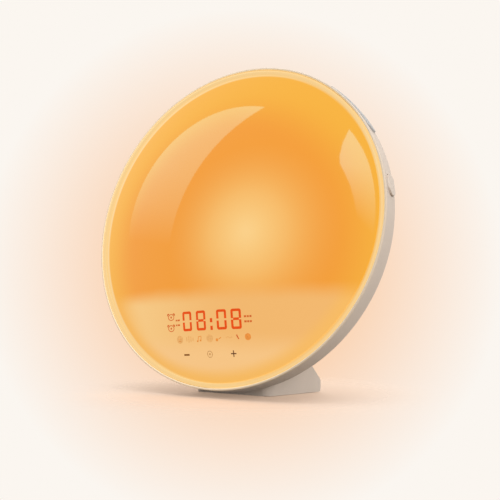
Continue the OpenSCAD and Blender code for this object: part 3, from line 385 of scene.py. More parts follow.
def orange_glow(tree, flat):
    """The pool of light and the yellower light at the rim, for places seen along the head's axis."""
    from_glow, from_warm = [
        add(tree, "VectorMath", {"operation": "DISTANCE"}, {0: flat, 1: (*middle, 0)})
        for middle in (GLOW_AT, WARM_AT)
    ]
    pool = add(tree, "ValToRGB", {}, {0: add(tree, "MapRange", {}, {0: from_glow, 2: GLOW_REACH})})
    pool.color_ramp.interpolation = "B_SPLINE"
    while len(pool.color_ramp.elements) < len(POOL):
        pool.color_ramp.elements.new(0.5)
    for element, (at, colour) in zip(pool.color_ramp.elements, POOL):
        element.position = at
        element.color = under_skin(colour)
    near_rim = add(tree, "MapRange", SMOOTH, {0: from_warm, 1: RIM_FROM, 2: RIM_TO})
    return add(tree, "Mix", COLOUR, {0: near_rim, 6: pool, 7: under_skin(RIM_GLOW)})


print("pool of light:", 2 * GLOW_REACH, "mm across")

# %% [markdown]
# The field in front of the display is paler at its left and low down, and deeper along the rim. Its
# colours are laid over each other in that order. A slow noise moves its soft upper edge by about a
# millimetre, so that it doesn't look ruled.

# %% The field below
FIELD_TOP = -41.0
EDGE_TURN = math.radians(1.8)
EDGE_ABOVE = 3.0
EDGE_BELOW = 8.0
WOBBLE_MM = 20.0
WOBBLE_DEPTH = 3.0
FIELD_RIGHT = "#F5BB73"
FIELD_LEFT = "#F9CB86"
LEFT_FROM = 20.0
LEFT_TO = -55.0
FIELD_LOW = "#FAC98A"
LOW_FROM = -62.0
LOW_TO = -76.0
FIELD_EDGE = "#F9BE69"
EDGE_FROM = 78.0
EDGE_TO = 86.0
FIELD_FAR_LEFT = "#F7B553"
FAR_FROM_AT = (12.0, -20.0)
FAR_FROM = 66.0
FAR_TO = 90.0


def field_glow(tree, place, flat):
    """The field's colour, and how much of it shows at each place."""
    upward = (-math.sin(EDGE_TURN), math.cos(EDGE_TURN), 0)
    height = add(tree, "VectorMath", {"operation": "DOT_PRODUCT"}, {0: place, 1: upward})
    wobble = add(tree, "TexNoise", {}, {"Vector": place, "Scale": 1 / WOBBLE_MM, "Detail": 1.0})
    height = add(tree, "Math", {"operation": "MULTIPLY_ADD"}, {0: wobble, 1: -WOBBLE_DEPTH, 2: height})
    soft_edge = {0: height, 1: FIELD_TOP + EDGE_ABOVE, 2: FIELD_TOP - EDGE_BELOW}
    in_field = add(tree, "MapRange", SMOOTH, soft_edge)
    across = add(tree, "SeparateXYZ", {}, {0: place}).outputs[0]
    leftward = add(tree, "MapRange", SMOOTH, {0: across, 1: LEFT_FROM, 2: LEFT_TO})
    sides = {0: leftward, 6: under_skin(FIELD_RIGHT), 7: under_skin(FIELD_LEFT)}
    field = add(tree, "Mix", COLOUR, sides)
    low_down = add(tree, "MapRange", SMOOTH, {0: height, 1: LOW_FROM, 2: LOW_TO})
    field = add(tree, "Mix", COLOUR, {0: low_down, 6: field, 7: under_skin(FIELD_LOW)})
    from_middle = add(tree, "VectorMath", {"operation": "LENGTH"}, {0: flat})
    near_edge = add(tree, "MapRange", SMOOTH, {0: from_middle, 1: EDGE_FROM, 2: EDGE_TO})
    field = add(tree, "Mix", COLOUR, {0: near_edge, 6: field, 7: under_skin(FIELD_EDGE)})
    from_right = add(tree, "VectorMath", {"operation": "DISTANCE"}, {0: flat, 1: (*FAR_FROM_AT, 0)})
    far_left = add(tree, "MapRange", SMOOTH, {0: from_right, 1: FAR_FROM, 2: FAR_TO})
    return add(tree, "Mix", COLOUR, {0: far_left, 6: field, 7: under_skin(FIELD_FAR_LEFT)}), in_field


print("field below", FIELD_TOP, "mm, its edge turned by", round(math.degrees(EDGE_TURN), 1), "degrees")

# %% [markdown]
# The bead's pale glow starts at its inner edge. In the picture that edge isn't quite a circle round the
# middle: the thick plastic bends the light, so the glow sits a little to the right and down.

# %% The whole glow
BEAD_GLOW = "#F9D292"
BEAD_MIDDLE = (2.1, -1.0)
BEAD_SQUEEZE = 0.993
BEAD_FROM = 85.0
BEAD_TO = 86.6


def dome_glow(tree):
    """The glow's colour at each place of the panel."""
    place = head_place(tree)
    flat = add(tree, "VectorMath", {"operation": "MULTIPLY"}, {0: place, 1: (1, 1, 0)})
    field, in_field = field_glow(tree, place, flat)
    body = add(tree, "Mix", COLOUR, {0: in_field, 6: orange_glow(tree, flat), 7: field})
    squeezed = add(tree, "VectorMath", {"operation": "MULTIPLY"}, {0: place, 1: (1, BEAD_SQUEEZE, 0)})
    from_bead = add(tree, "VectorMath", {"operation": "DISTANCE"}, {0: squeezed, 1: (*BEAD_MIDDLE, 0)})
    on_bead = add(tree, "MapRange", SMOOTH, {0: from_bead, 1: BEAD_FROM, 2: BEAD_TO})
    return add(tree, "Mix", COLOUR, {0: on_bead, 6: body, 7: under_skin(BEAD_GLOW)})


print("bead's glow:", BEAD_GLOW)

# %% [markdown]
# A polished mould leaves no grain, so the skin's roughness is only 0.04. The plastic's own flow makes very
# faint waves of about 18 mm, which bend the reflections a little, as on any moulded gloss. Polycarbonate
# has an IOR of 1.58, but the picture's reflections are weaker, and 1.5 matches them.

# %% Dome material
SKIN_ROUGHNESS = 0.04
SKIN_IOR = 1.5
FLOW_MM = 18
FLOW_DEPTH_MM = 0.04
FLOW_BUMP = 0.05


def opal_dome():
    """Polished opal plastic, lit from behind: a glossy skin over the glow."""
    material, tree = new_material("polished_opal_polycarbonate")
    glow = dome_glow(tree)
    place = add(tree, "TexCoord").outputs["Object"]
    flow = add(tree, "TexNoise", {}, {"Vector": place, "Scale": 1 / (FLOW_MM * MM), "Detail": 1.0})
    waves = {"Strength": FLOW_BUMP, "Distance": FLOW_DEPTH_MM * MM, "Height": flow}
    shader = add(tree, "BsdfPrincipled", {}, {
        "Base Color": add(tree, "Mix", COLOUR, {0: PLAIN, 6: BLACK, 7: glow}),
        "Roughness": SKIN_ROUGHNESS,
        "IOR": SKIN_IOR,
        "Emission Color": glow,
        "Emission Strength": EMITTED,
        "Normal": add(tree, "Bump", {}, waves),
    })
    add(tree, "OutputMaterial", {}, {"Surface": shader})
    return material


materials["lamp_panel"] = opal_dome()
print("dome nodes:", len(materials["lamp_panel"].node_tree.nodes))

# %% [markdown]
# ## Building meshes
# Meshes are drawn in head millimetres and moved into the frame at once. Curved faces shade smoothly, and
# edges sharper than 30 degrees stay crisp. All the pieces drawn here are part of the housing, so none of
# them moves when a key is pressed.

# %% Building a piece
CRISP = math.radians(30)


def build(name, vertices, faces, material, slot, body="housing"):
    """A piece from vertices in head millimetres, with its material and body. Its slot is not used."""
    mesh = bpy.data.meshes.new(name)
    mesh.from_pydata([HEAD @ Vector(v) for v in vertices], [], faces)
    mesh.validate()
    for polygon in mesh.polygons:
        polygon.use_smooth = True
    mesh.set_sharp_from_angle(angle=CRISP)
    mesh.materials.append(material)
    piece = bpy.data.objects.new(name, mesh)
    bpy.context.scene.collection.objects.link(piece)
    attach(piece, body)
    return piece


print("edges stay crisp above", round(math.degrees(CRISP)), "degrees")

# %% [markdown]
# ## The light panel
# The real panel is one injection moulding: a dome, a bead round its edge and a flange that seats in the
# housing. A dome could be cut from a sphere, but a lathe gives the dome, the bead and the wall's inside in
# one closed surface. Its profile runs out along the dome, round the bead, down to the flange and back
# under the wall. It is turned in 320 steps, so that the mirrored crescents stay smooth.

# %% Lathe
LATHE_STEPS = 320


def lathe(profile, steps):
    """A closed profile of (radius, height) turned round the z axis. Both its ends are on the axis."""
    rings = profile[1:-1]
    vertices = [(0, 0, profile[0][1])]
    for radius, height in rings:
        for k in range(steps):
            turn = 2 * math.pi * k / steps
            vertices.append((radius * math.cos(turn), radius * math.sin(turn), height))
    vertices.append((0, 0, profile[-1][1]))
    last = len(vertices) - 1
    faces = []
    for k in range(steps):
        after = (k + 1) % steps
        faces.append((0, 1 + k, 1 + after))
        faces.append((last, last - steps + after, last - steps + k))
        for ring in range(len(rings) - 1):
            a = 1 + ring * steps
            faces.append((a + k, a + steps + k, a + steps + after, a + after))
    return vertices, faces


print("one lathe step at the rim:", round(2 * math.pi * PANEL_R / LATHE_STEPS, 2), "mm")

# %% [markdown]
# The profile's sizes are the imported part's own: a wall of 2.2 mm, a bead of 1.4 mm radius and a flange
# 1.6 mm behind z = 0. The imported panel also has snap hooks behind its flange. They are clear plastic
# inside the housing, so the drawn panel leaves them out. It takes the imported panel's place.

# %% The panel itself
PANEL_WALL = 2.2
PANEL_SEAT = 1.6
BEAD_R = 1.4
BEAD_X = PANEL_R - BEAD_R
BEAD_Z = -0.2
JOIN_R = 86.91
FLANGE_IN_R = 86.0
FLANGE_DROP = 0.2
DOME_RINGS = 72
BEAD_RINGS = 24
WALL_RINGS = 24


def sphere_z(radius, sphere_r):
    """The height of a sphere round the dome's centre at a distance from the axis."""
    return DOME_Z + math.sqrt(sphere_r**2 - radius**2)


outside_radii = [JOIN_R * k / DOME_RINGS for k in range(DOME_RINGS)]
outside = [(r, sphere_z(r, DOME_R)) for r in outside_radii]
join_turn = math.acos((JOIN_R - BEAD_X) / BEAD_R)
turns = [join_turn * (1 - k / BEAD_RINGS) for k in range(BEAD_RINGS + 1)]
bead = [(BEAD_X + BEAD_R * math.cos(t), BEAD_Z + BEAD_R * math.sin(t)) for t in turns]
flange = [(PANEL_R, -PANEL_SEAT), (FLANGE_IN_R, -PANEL_SEAT - FLANGE_DROP)]
inside_radii = [FLANGE_IN_R * (1 - k / WALL_RINGS) for k in range(1, WALL_RINGS + 1)]
inside = [(r, sphere_z(r, DOME_R - PANEL_WALL)) for r in inside_radii]
shape = lathe(outside + bead + flange + inside, LATHE_STEPS)
panel = build("lit_dome", *shape, materials["lamp_panel"], "lamp_panel")
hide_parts("light_panel")
print("dome faces:", len(panel.data.polygons))

# %% [markdown]
# ## Marks that shine through
# The display sits behind the panel, and only its lit bars show, as soft red-orange strokes. Small alarm
# symbols stand left of them, and a row of faint symbols below. Under that the three touch marks are
# printed in brown and tan ink. Each mark is a thin film that follows the dome, drawn as strokes of a
# given width.

# %% Strokes on the dome
FILM = 0.06
STEP_MM = 0.45


def resample(points, closed):
    """The same line with points at most STEP_MM apart."""
    ends = list(zip(points, points[1:] + points[:1])) if closed else list(zip(points, points[1:]))
    line = []
    for a, b in ends:
        count = max(1, math.ceil(math.dist(a, b) / STEP_MM))
        for k in range(count):
            line.append((a[0] + (b[0] - a[0]) * k / count, a[1] + (b[1] - a[1]) * k / count))
    return line if closed else line + [points[-1]]


def stroke(points, width, closed=False):
    """Vertices and faces of a film along a line on the dome."""
    line = resample(points, closed)
    count = len(line)
    vertices, faces = [], []
    for k, (x, y) in enumerate(line):
        before = line[k - 1] if closed or k else line[0]
        after = line[(k + 1) % count] if closed or k < count - 1 else line[-1]
        forward = Vector((after[0] - before[0], after[1] - before[1])).normalized()
        side = Vector((-forward.y, forward.x)) * width / 2
        for lift in (FILM, -FILM):
            vertices += [dome_point(x + side.x, y + side.y, lift), dome_point(x - side.x, y - side.y, lift)]
    for k in range(count if closed else count - 1):
        a, b = 4 * k, 4 * ((k + 1) % count)
        faces += [(a, a + 1, b + 1, b), (a + 3, a + 2, b + 2, b + 3)]
        faces += [(a + 2, a, b, b + 2), (a + 1, a + 3, b + 3, b + 1)]
    if not closed:
        end = 4 * (count - 1)
        faces += [(0, 2, 3, 1), (end, end + 1, end + 3, end + 2)]
    return vertices, faces


print("films stand", FILM, "mm proud of the dome")

# %% [markdown]
# In the picture the whole display is turned by three degrees, so every point is turned round the digits'
# middle before it is drawn. Strokes that share a material and belong together become one piece. Round
# marks are made of arcs and rings of 24 steps, each about as long as one pixel or shorter.

# %% Films on the turned display
DISPLAY_X = 1.7
DIGIT_Y = -55.65
DISPLAY_TURN = math.radians(3.0)


def turned(point):
    """A place on the display, as it lies on the turned display."""
    x, y = point[0] - DISPLAY_X, point[1] - DIGIT_Y
    cosine, sine = math.cos(DISPLAY_TURN), math.sin(DISPLAY_TURN)
    return (DISPLAY_X + x * cosine - y * sine, DIGIT_Y + x * sine + y * cosine)


def film(name, strokes, material, slot):
    """One piece from several strokes."""
    vertices, faces = [], []
    for points, width, closed in strokes:
        more_vertices, more_faces = stroke([turned(point) for point in points], width, closed)
        faces += [tuple(i + len(vertices) for i in face) for face in more_faces]
        vertices += more_vertices
    return build(name, vertices, faces, material, slot)


print("marks turned by", round(math.degrees(DISPLAY_TURN), 1), "degrees")

# %% Arcs and rings
RING_STEPS = 24


def arc(x, y, radius, start, end, count):
    """Points of an arc, angles in degrees."""
    angles = [math.radians(start + (end - start) * k / count) for k in range(count + 1)]
    return [(x + radius * math.cos(t), y + radius * math.sin(t)) for t in angles]


def ring(x, y, radius, width):
    """A ring, or a disc where it is as wide as its diameter."""
    return (arc(x, y, radius, 0, 360, RING_STEPS)[:-1], width, True)


print("a ring has", RING_STEPS, "steps")

# %% [markdown]
# A lit bar glows through 2 mm of opal plastic. The marks of the row below are the same light seen
# fainter, nearly the panel's own orange. The bars lie a little under the skin, so they lack most of its
# reflection: their specular level is low, and their red stays deep. Fine specks of 0.8 mm keep a bar from
# looking like flat paint. The touch marks are thin pad-printed ink with little gloss: the plus is dark
# brown, the minus looks worn, and the light's mark is tan.

# %% Mark materials
SPECK_MM = 0.8
SPECK_TONE = 0.85
MARK_ROUGHNESS = 0.3
MARK_SPECULAR = 0.15


def lit_mark(name, hex_colour):
    """Light that comes through the panel: mostly emitted."""
    material, tree = new_material(name)
    place = add(tree, "TexCoord").outputs["Object"]
    speck = add(tree, "TexNoise", {}, {"Vector": place, "Scale": 1 / (SPECK_MM * MM), "Detail": 1.0})
    share = add(tree, "MapRange", SMOOTH, {0: speck, 1: LOW_NOISE, 2: HIGH_NOISE})
    bright = linear(hex_colour)
    dim = [c * SPECK_TONE for c in bright[:3]] + [1.0]
    tone = add(tree, "Mix", COLOUR, {0: share, 6: dim, 7: bright})
    shader = add(tree, "BsdfPrincipled", {}, {
        "Base Color": add(tree, "Mix", COLOUR, {0: PLAIN, 6: BLACK, 7: tone}),
        "Roughness": MARK_ROUGHNESS,
        "IOR": SKIN_IOR,
        "Specular IOR Level": MARK_SPECULAR,
        "Emission Color": tone,
        "Emission Strength": EMITTED,
    })
    add(tree, "OutputMaterial", {}, {"Surface": shader})
    return material


lit = lit_mark("lit_red_orange_bar", "#F05208")
dull = lit_mark("dull_red_symbol", "#DC6A2C")
faint = lit_mark("faint_orange_symbol", "#F09540")
fainter = lit_mark("fainter_orange_symbol", "#F4B76E")
dark_ink = moulded_plastic("pad_printed_brown_ink", "#6E3A0C", 0.7, 0.1)
worn_ink = moulded_plastic("worn_brown_ink", "#A3620F", 0.7, 0.1)
pale_ink = moulded_plastic("pad_printed_tan_ink", "#E0A662", 0.4, 0.1)
print("mark materials:", [m.name for m in (lit, dull, faint, fainter, dark_ink, worn_ink, pale_ink)])

# %% [markdown]
# The digits are seen through the panel from the right, so they seem to stand 1.7 mm to the right of
# the middle. A font would bring its own shapes, so each digit is drawn as its rounded outline: an upper
# and a lower loop, open in the middle for a nought and closed by a bar for an eight. Their places are
# the picture's, where the gaps between them aren't quite even. The colon is two short, wide strokes.

# %% Digits
DIGIT_H = 10.1
DIGIT_W = 5.95
DIGIT_X = [-15.2, -6.1, 6.7, 15.3]
BAR = 1.28
CORNER = 0.5
CORNER_TURNS = (0.4, 0.8, 1.2)
NOUGHT_WAIST = 0.5
EIGHT_WAIST = 0.35
MIDDLE_INSET = 0.7


def digit(x, is_eight):
    """An upper and a lower loop of bars, and a middle bar for an eight."""
    half_w = (DIGIT_W - BAR) / 2
    half_h = (DIGIT_H - BAR) / 2
    waist = EIGHT_WAIST if is_eight else NOUGHT_WAIST
    made = []
    for way in (1, -1):
        path = [(x - half_w, DIGIT_Y + waist * way), (x - half_w, DIGIT_Y + (half_h - CORNER) * way)]
        for t in CORNER_TURNS:
            bend_x = x - half_w + CORNER * (1 - math.cos(t))
            path.append((bend_x, DIGIT_Y + (half_h - CORNER + CORNER * math.sin(t)) * way))
        path.append((x - half_w + CORNER, DIGIT_Y + half_h * way))
        path += [(2 * x - px, py) for px, py in reversed(path)]
        made.append((path, BAR, False))
    if is_eight:
        middle = [(x - half_w + MIDDLE_INSET, DIGIT_Y), (x + half_w - MIDDLE_INSET, DIGIT_Y)]
        made.append((middle, BAR, False))
    return made


digits = []
for x, is_eight in zip(DIGIT_X, (False, True, False, True)):
    digits += digit(DISPLAY_X + x, is_eight)
print("digits:", len(DIGIT_X), "strokes:", len(digits))

# %% Colon and shown time
COLON_X = DISPLAY_X + 0.35
COLON_DROPS = (0.15, 4.0)
COLON_HALF = 1.05
COLON_W = 1.45

for drop in COLON_DROPS:
    y = DIGIT_Y - drop
    digits.append(([(COLON_X, y + COLON_HALF), (COLON_X, y - COLON_HALF)], COLON_W, False))
shown_time = film("shown_time", digits, lit, "lit_segment")
print("digit faces:", len(shown_time.data.polygons))

# %% [markdown]
# The small symbols say which alarm is set and which sound plays. They are drawn as plain generic
# outlines: two alarm clocks, short bars beside them, and below a row of sound symbols. Each point is a
# place on the display in mm, as read from the picture, and each stroke has its width after it.

# %% Alarm symbols
ALARM_X = -24.6
ALARM_HALF_W = 2.0
ALARM_HALF_H = 1.55


def alarm_symbol(x, y):
    """A clock's round face, its middle and its two bells."""
    face = [(x + ALARM_HALF_W * a, y + ALARM_HALF_H * b) for a, b in arc(0, 0, 1, 0, 360, RING_STEPS)[:-1]]
    strokes = [(face, 0.42, True), ring(x, y, 0.3, 0.5)]
    for side in (-1, 1):
        bell = [(x + side * 2.45, y + 0.8), (x + side * 2.4, y + 1.65), (x + side * 1.4, y + 1.75)]
        strokes.append((bell, 0.7, False))
    return strokes


alarms = alarm_symbol(ALARM_X, -53.0) + alarm_symbol(ALARM_X - 0.4, -58.8)
print("alarm symbols at x", ALARM_X, "strokes:", len(alarms))

# %% Bars beside the alarms
LEFT_BARS_X = -21.4
RIGHT_BARS_X = 21.6


def bars(x, y, widths, thick, gap=0.35):
    """Short bars in a row."""
    strokes = []
    for width in widths:
        strokes.append(([(x, y), (x + width, y)], thick, False))
        x += width + gap
    return strokes


alarms += bars(LEFT_BARS_X, -54.8, (1.0, 1.5), 0.85) + bars(LEFT_BARS_X, -57.3, (0.8, 1.6), 0.85)
film("shown_alarms", alarms, dull, "lit_segment")
days = bars(RIGHT_BARS_X, -54.6, (1.3, 1.1, 1.1), 1.0) + bars(RIGHT_BARS_X, -57.1, (1.3, 1.1, 1.1), 1.0)
film("shown_days", days, dull, "lit_segment")
print("strokes for alarms and bars:", len(alarms) + len(days))

# %% [markdown]
# The sound symbols stand in one row: a face, four bars of a meter, two notes, a ring, a twig, a wave, a
# leaf and a dot. They are drawn as four films in three tones, since they aren't equally bright in the
# picture.

# %% Sound symbols
ROW_Y = -64.8
METER_BARS = ((-14.7, 1.1), (-13.3, 1.7), (-11.9, 1.4), (-10.5, 1.0))

sounds = [ring(-19.4, ROW_Y, 1.0, 2.0), ring(-19.4, ROW_Y, 1.95, 0.3)]
for x, half_h in METER_BARS:
    sounds.append(([(x, ROW_Y - half_h), (x, ROW_Y + half_h)], 0.7, False))
sounds += [ring(0.3, ROW_Y, 0.95, 1.9), ring(0.3, ROW_Y, 1.9, 0.3)]
wave = [(10.2, ROW_Y - 0.1), (11.5, ROW_Y + 0.4), (12.7, ROW_Y - 0.1), (13.9, ROW_Y + 0.3)]
sounds.append((wave, 0.6, False))
film("shown_sounds", sounds, fainter, "lit_segment")
print("sound symbols: strokes", len(sounds))

# %% Notes, leaf and dot
stems = [(-7.2, ROW_Y - 1.1), (-6.9, ROW_Y + 1.0), (-5.1, ROW_Y + 1.3), (-5.3, ROW_Y - 0.8)]
notes = [(stems, 0.35, False), ring(-7.5, ROW_Y - 1.2, 0.25, 0.5), ring(-5.6, ROW_Y - 0.9, 0.25, 0.5)]
notes += [ring(4.7, ROW_Y - 0.9, 0.4, 0.7), ([(5.7, ROW_Y - 0.6), (7.3, ROW_Y + 0.3)], 0.4, False)]
notes += bars(-20.3, ROW_Y + 0.2, (0.5, 0.5), 0.4, 0.8) + bars(-20.2, ROW_Y - 0.9, (1.6,), 0.35)
film("shown_notes", notes, faint, "lit_segment")
leaf = [([(16.6, ROW_Y + 1.4), (17.0, ROW_Y + 0.3), (17.7, ROW_Y - 0.8)], 0.65, False)]
film("shown_leaf", leaf, dull, "lit_segment")
dot = film("shown_dot", [ring(22.9, ROW_Y + 0.2, 0.85, 1.7)], faint, "lit_segment")
print("dot faces:", len(dot.data.polygons))

# %% [markdown]
# Three marks under the display show where to touch: minus, a light and plus. Under each, a pad of foam
# feels the finger through the panel. They are ink on the outside, so they are films too. The plus is
# one bar across and two short ones, as bars that crossed would lie in one plane and flicker.

# %% Touch marks
TOUCH_X = -0.9
TOUCH_Y = -72.7
TOUCH_PITCH = 14.75
MINUS_HALF = 1.8
PLUS_HALF = 1.6
PLUS_W = 0.55
PLUS_START = 0.28
BULB_X = TOUCH_X + 0.4
BULB_R = 1.55
BULB_W = 0.3

left = TOUCH_X - TOUCH_PITCH
right = TOUCH_X + TOUCH_PITCH
minus = [([(left - MINUS_HALF, TOUCH_Y), (left + MINUS_HALF, TOUCH_Y)], 0.85, False)]
film("touch_minus", minus, worn_ink, "touch_foam")
plus = [([(right - PLUS_HALF, TOUCH_Y), (right + PLUS_HALF, TOUCH_Y)], PLUS_W, False)]
for way in (-1, 1):
    upright = [(right, TOUCH_Y + PLUS_START * way), (right, TOUCH_Y + PLUS_HALF * way)]
    plus.append((upright, PLUS_W, False))
film("touch_plus", plus, dark_ink, "touch_foam")
bulb = [(arc(BULB_X, TOUCH_Y, BULB_R, -50, 230, 20), BULB_W, False), ring(BULB_X, TOUCH_Y, 0.35, 0.35)]
bulb.append(([(BULB_X - 0.9, TOUCH_Y - 1.5), (BULB_X + 0.9, TOUCH_Y - 1.5)], BULB_W, False))
film("touch_light", bulb, pale_ink, "touch_foam")
print("touch marks", TOUCH_PITCH, "mm apart")

# %% [markdown]
# ## Finishes for the CAD pieces
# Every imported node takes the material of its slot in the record.

# %% CAD nodes
materials["lit_segment"] = lit
for part in frame["record"]["subparts"]:
    data = nodes[part["node"]].data
    data.materials.clear()
    data.materials.append(materials[part["material_slot"]])

# %% [markdown]
# ## The studio
# The clock stands on a pale floor in a pale room. The picture shows no edge between them, so the floor
# turns clear away from the clock, and the room's own colour shows. Even beside the clock it is partly
# clear, which keeps the shadow under the foot faint. A warm halo of painted light lies round the lamp:
# on the floor it is a warmer colour painted close to the clock in place of the lamp's glow, and in the
# room a colour that only direct rays see. Light that bounces off the floor is kept low, since the
# underside of the head is dark in the picture.

# %% What the camera sees
ROOM = "#FBF6F0"
HALO = "#FAD2B0"
HALO_AT = (21.0, -29.0)
HALO_FROM = 0.15
HALO_TO = 0.35
# Painted light: the lamp's warm glow on the floor close to the clock, given as the floor's colour there.
PAINTED_FLOOR_GLOW = "#F6DCC8"


def seen_directly(tree):
    """1 for rays from the camera, from mirrors and through glass."""
    path = add(tree, "LightPath").outputs
    either = add(tree, "Math", {"operation": "MAXIMUM"}, {0: path["Is Camera Ray"], 1: path["Is Glossy Ray"]})
    return add(tree, "Math", {"operation": "MAXIMUM"}, {0: either, 1: path["Is Transmission Ray"]})


print("room and halo:", ROOM, HALO)

# %% [markdown]
# The floor is a sheet of matt paper, as a photographer would lay it: no gloss, and a weak cloudy tone of
# 60 mm. One flat face of 6 m is enough, since it is fully clear long before its edge.

# %% Floor
FLOOR_HALF = 3.0
FADE_FROM = 0.04
FADE_TO = 0.11
LEAST_FADE = 0.3
GLOW_ENDS_FROM = 0.05
GLOW_ENDS_TO = 0.2
CLOUD_MM = 60
CLOUD_SHARE = 0.06
BOUNCE = "#82776B"


def fading_floor():
    """Matt and pale, with the lamp's glow painted on near the clock, and clear away from it, where the room's
    own colour shows.
    """
    material, tree = new_material("matt_pale_floor")
    place = add(tree, "TexCoord").outputs["Object"]
    far = add(tree, "VectorMath", {"operation": "LENGTH"}, {0: place}).outputs["Value"]
    grain = add(tree, "TexNoise", {}, {"Vector": place, "Scale": 1 / (CLOUD_MM * MM), "Detail": 2.0})
    # The painted glow fades into the room's colour between these two distances.
    paler = add(tree, "MapRange", SMOOTH, {0: far, 1: GLOW_ENDS_FROM, 2: GLOW_ENDS_TO})
    tone = add(tree, "Mix", COLOUR, {0: paler, 6: linear(PAINTED_FLOOR_GLOW), 7: linear(ROOM)})
    cloudy = add(tree, "MapRange", {}, {0: grain, 4: CLOUD_SHARE})
    tone = add(tree, "Mix", COLOUR, {0: cloudy, 6: tone, 7: linear(PAINTED_FLOOR_GLOW)})
    seen = seen_directly(tree)
    colour = add(tree, "Mix", COLOUR, {0: seen, 6: linear(BOUNCE), 7: tone})
    matt = add(tree, "BsdfDiffuse", {}, {"Color": colour})
    clear = add(tree, "MapRange", SMOOTH, {0: far, 1: FADE_FROM, 2: FADE_TO, 3: LEAST_FADE})
    clear = add(tree, "Math", {"operation": "MULTIPLY"}, {0: clear, 1: seen})
    surface = add(tree, "MixShader", {}, {0: clear, 1: matt, 2: add(tree, "BsdfTransparent")})
    add(tree, "OutputMaterial", {}, {"Surface": surface})
    return material


floor_mesh = bpy.data.meshes.new("floor")
corners = [(FLOOR_HALF * x, FLOOR_HALF * y, 0) for x, y in ((-1, -1), (1, -1), (1, 1), (-1, 1))]
floor_mesh.from_pydata(corners, [], [(0, 1, 2, 3)])
floor_mesh.materials.append(fading_floor())
floor = bpy.data.objects.new("floor", floor_mesh)
bpy.context.scene.collection.objects.link(floor)
print("floor fades out from", FADE_FROM, "to", FADE_TO, "m")

# %% [markdown]
# The room is the world's background, so it needs no walls. What it looks like and what light it gives are
# two backgrounds, and the kind of ray chooses between them. The halo lies round one fixed direction,
# from the picture's camera to a place on the head. Seen from elsewhere, it shows beside the clock.

# %% Room
ROOM_LIGHT = 0.57
ROOM_WHITE = "#FFFDFA"

world = bpy.data.worlds.new("room")
bpy.context.scene.world = world
world.use_nodes = True
tree = world.node_tree
tree.nodes.clear()
# Painted light: the lamp's warm glow on the room is a background colour round one direction.
toward = (HEAD @ dome_point(*HALO_AT) - camera.location).normalized()
ray = add(tree, "TexCoord").outputs["Generated"]
facing = add(tree, "VectorMath", {"operation": "DOT_PRODUCT"}, {0: ray, 1: toward})
angle = add(tree, "Math", {"operation": "ARCCOSINE"}, {0: facing})
away = add(tree, "MapRange", {}, {0: angle, 1: HALO_FROM, 2: HALO_TO})
halo = add(tree, "Mix", COLOUR, {0: away, 6: linear(HALO), 7: linear(ROOM)})
seen = add(tree, "Background", {}, {0: halo})
lighting = add(tree, "Background", {}, {0: linear(ROOM_WHITE), 1: ROOM_LIGHT})
both = add(tree, "MixShader", {}, {0: seen_directly(tree), 1: lighting, 2: seen})
add(tree, "OutputWorld", {}, {0: both})
print("room light:", ROOM_LIGHT)

# %% [markdown]
# Three large round lights model the form: one overhead, one at the front right, which brightens the rim
# and its keys, and one behind, for views of the back. Glossy surfaces don't see them, because the
# only sharp shapes that the dome mirrors in the picture are the two below.

# %% Lights
LIGHT_SIZE = 0.8
AIM = Vector((0, 0, 0.09))


def soft_light(name, place, power):
    """A round soft light, turned to the clock's middle."""
    lamp = bpy.data.lights.new(name, "AREA")
    lamp.shape = "DISK"
    lamp.size = LIGHT_SIZE
    lamp.energy = power
    made = bpy.data.objects.new(name, lamp)
    bpy.context.scene.collection.objects.link(made)
    made.location = place
    made.rotation_euler = (AIM - Vector(place)).to_track_quat("-Z", "Y").to_euler()
    made.visible_glossy = False


soft_light("overhead", (0.15, -0.15, 1.1), 4.3)
soft_light("front_right", (0.95, -0.55, 0.32), 6.4)
soft_light("behind", (-0.5, 0.9, 0.6), 6.0)
print("lights:", len(bpy.data.lights))

# %% [markdown]
# ## The two window reflections
# The dome mirrors two bright shapes: a long crescent at its upper left and a shorter one at its right.
# In the studio they are curved light boards. A board's outline is drawn where its reflection lies on the
# dome. Each of its points then goes where the line of sight would bounce to, so the reflection is a
# real one, and it slides over the dome when the camera moves. The boards fade along their length, and
# only glossy surfaces see them. They are clear, so the room's reflection stays behind them, and tinted,
# because in the picture they add no red.

# %% Board geometry
BOARD_AWAY = 0.6
RUNGS = 40


def bounce(x, y):
    """Where the line of sight to a place on the dome bounces to."""
    place = HEAD @ dome_point(x, y)
    outward = (place - HEAD @ Vector((0, 0, DOME_Z))).normalized()
    sight = (place - camera.location).normalized()
    return place + BOARD_AWAY * (sight - 2 * sight.dot(outward) * outward)


def along(points, share):
    """A point at a share of the way along a line, by its length."""
    steps = [math.dist(a, b) for a, b in zip(points, points[1:])]
    left = share * sum(steps)
    for (a, b), step in zip(zip(points, points[1:]), steps):
        if left <= step:
            return tuple(p + (q - p) * left / step for p, q in zip(a, b))
        left -= step
    return points[-1]


print("boards hang", BOARD_AWAY, "m from the dome")

# %% [markdown]
# Each board is a ribbon between two lines, the outer and the inner edge of its reflection. The level of
# its glow is stored on the ribbon's points, so it can fade along the ribbon with a single material.

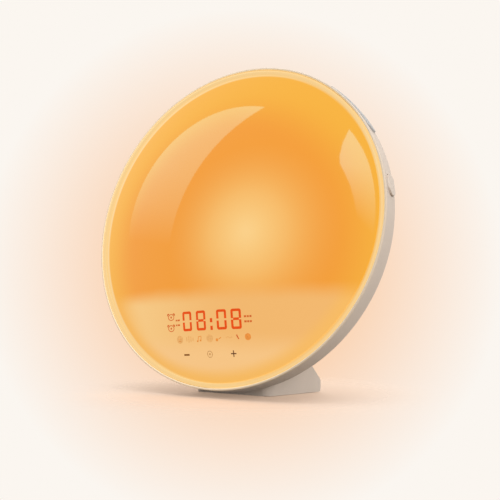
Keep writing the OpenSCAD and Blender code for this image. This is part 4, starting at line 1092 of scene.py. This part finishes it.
# %% Board builder
def light_board(name, outer, inner, glows, tint):
    """A board between two lines on the dome, with its glow at even steps from start to end."""
    mesh = bpy.data.meshes.new(name)
    vertices, levels = [], []
    for k in range(RUNGS + 1):
        share = k / RUNGS
        vertices += [bounce(*along(outer, share)), bounce(*along(inner, share))]
        step = min(int(share * (len(glows) - 1)), len(glows) - 2)
        part = share * (len(glows) - 1) - step
        levels += [glows[step] * (1 - part) + glows[step + 1] * part] * 2
    mesh.from_pydata(vertices, [], [(2 * k, 2 * k + 1, 2 * k + 3, 2 * k + 2) for k in range(RUNGS)])
    mesh.attributes.new("glow", "FLOAT", "POINT").data.foreach_set("value", levels)
    material, tree = new_material(name + "_light")
    level = add(tree, "Attribute", {"attribute_name": "glow"}).outputs["Fac"]
    light = add(tree, "Emission", {}, {0: linear(tint), 1: level})
    surface = add(tree, "AddShader", {}, {0: light, 1: add(tree, "BsdfTransparent")})
    add(tree, "OutputMaterial", {}, {"Surface": surface})
    mesh.materials.append(material)
    board = bpy.data.objects.new(name, mesh)
    bpy.context.scene.collection.objects.link(board)
    board.visible_camera = board.visible_diffuse = board.visible_shadow = board.visible_transmission = False
    print(name, "height above the floor:", round(min(v.z for v in vertices), 3))


print("a board has", RUNGS, "faces")

# %% [markdown]
# Both outlines were read from the picture, as places on the dome in mm. The levels of glow stand at even
# steps from a board's upper end to its lower one.

# %% The two boards
CRESCENT_GLOW = [3.6, 2.7, 2.4, 2.05, 1.25, 0.0]
CRESCENT_TINT = "#50F6EA"
BLADE_GLOW = [4.25, 4.25, 3.9, 2.6, 1.3, 0.0]
BLADE_TINT = "#50F0FF"

crescent_out = arc(3.1, -2.0, 66.3, 74.4, 186, 30)
crescent_in = [(20.9, 61.6)] + arc(69.0, -22.6, 96.9, 121, 176, 20)
light_board("left_board", crescent_out, crescent_in, CRESCENT_GLOW, CRESCENT_TINT)
blade_out = arc(11.4, -2.8, 74.8, 38.9, -8, 16)
blade_in = [(69.5, 44.1), (67.4, 36.5), (66.6, 29.0), (67.3, 24.5)]
blade_in += [(70.1, 19.2), (72.9, 13.4), (75.1, 7.0), (77.6, -4.0)]
light_board("right_board", blade_out, blade_in, BLADE_GLOW, BLADE_TINT)
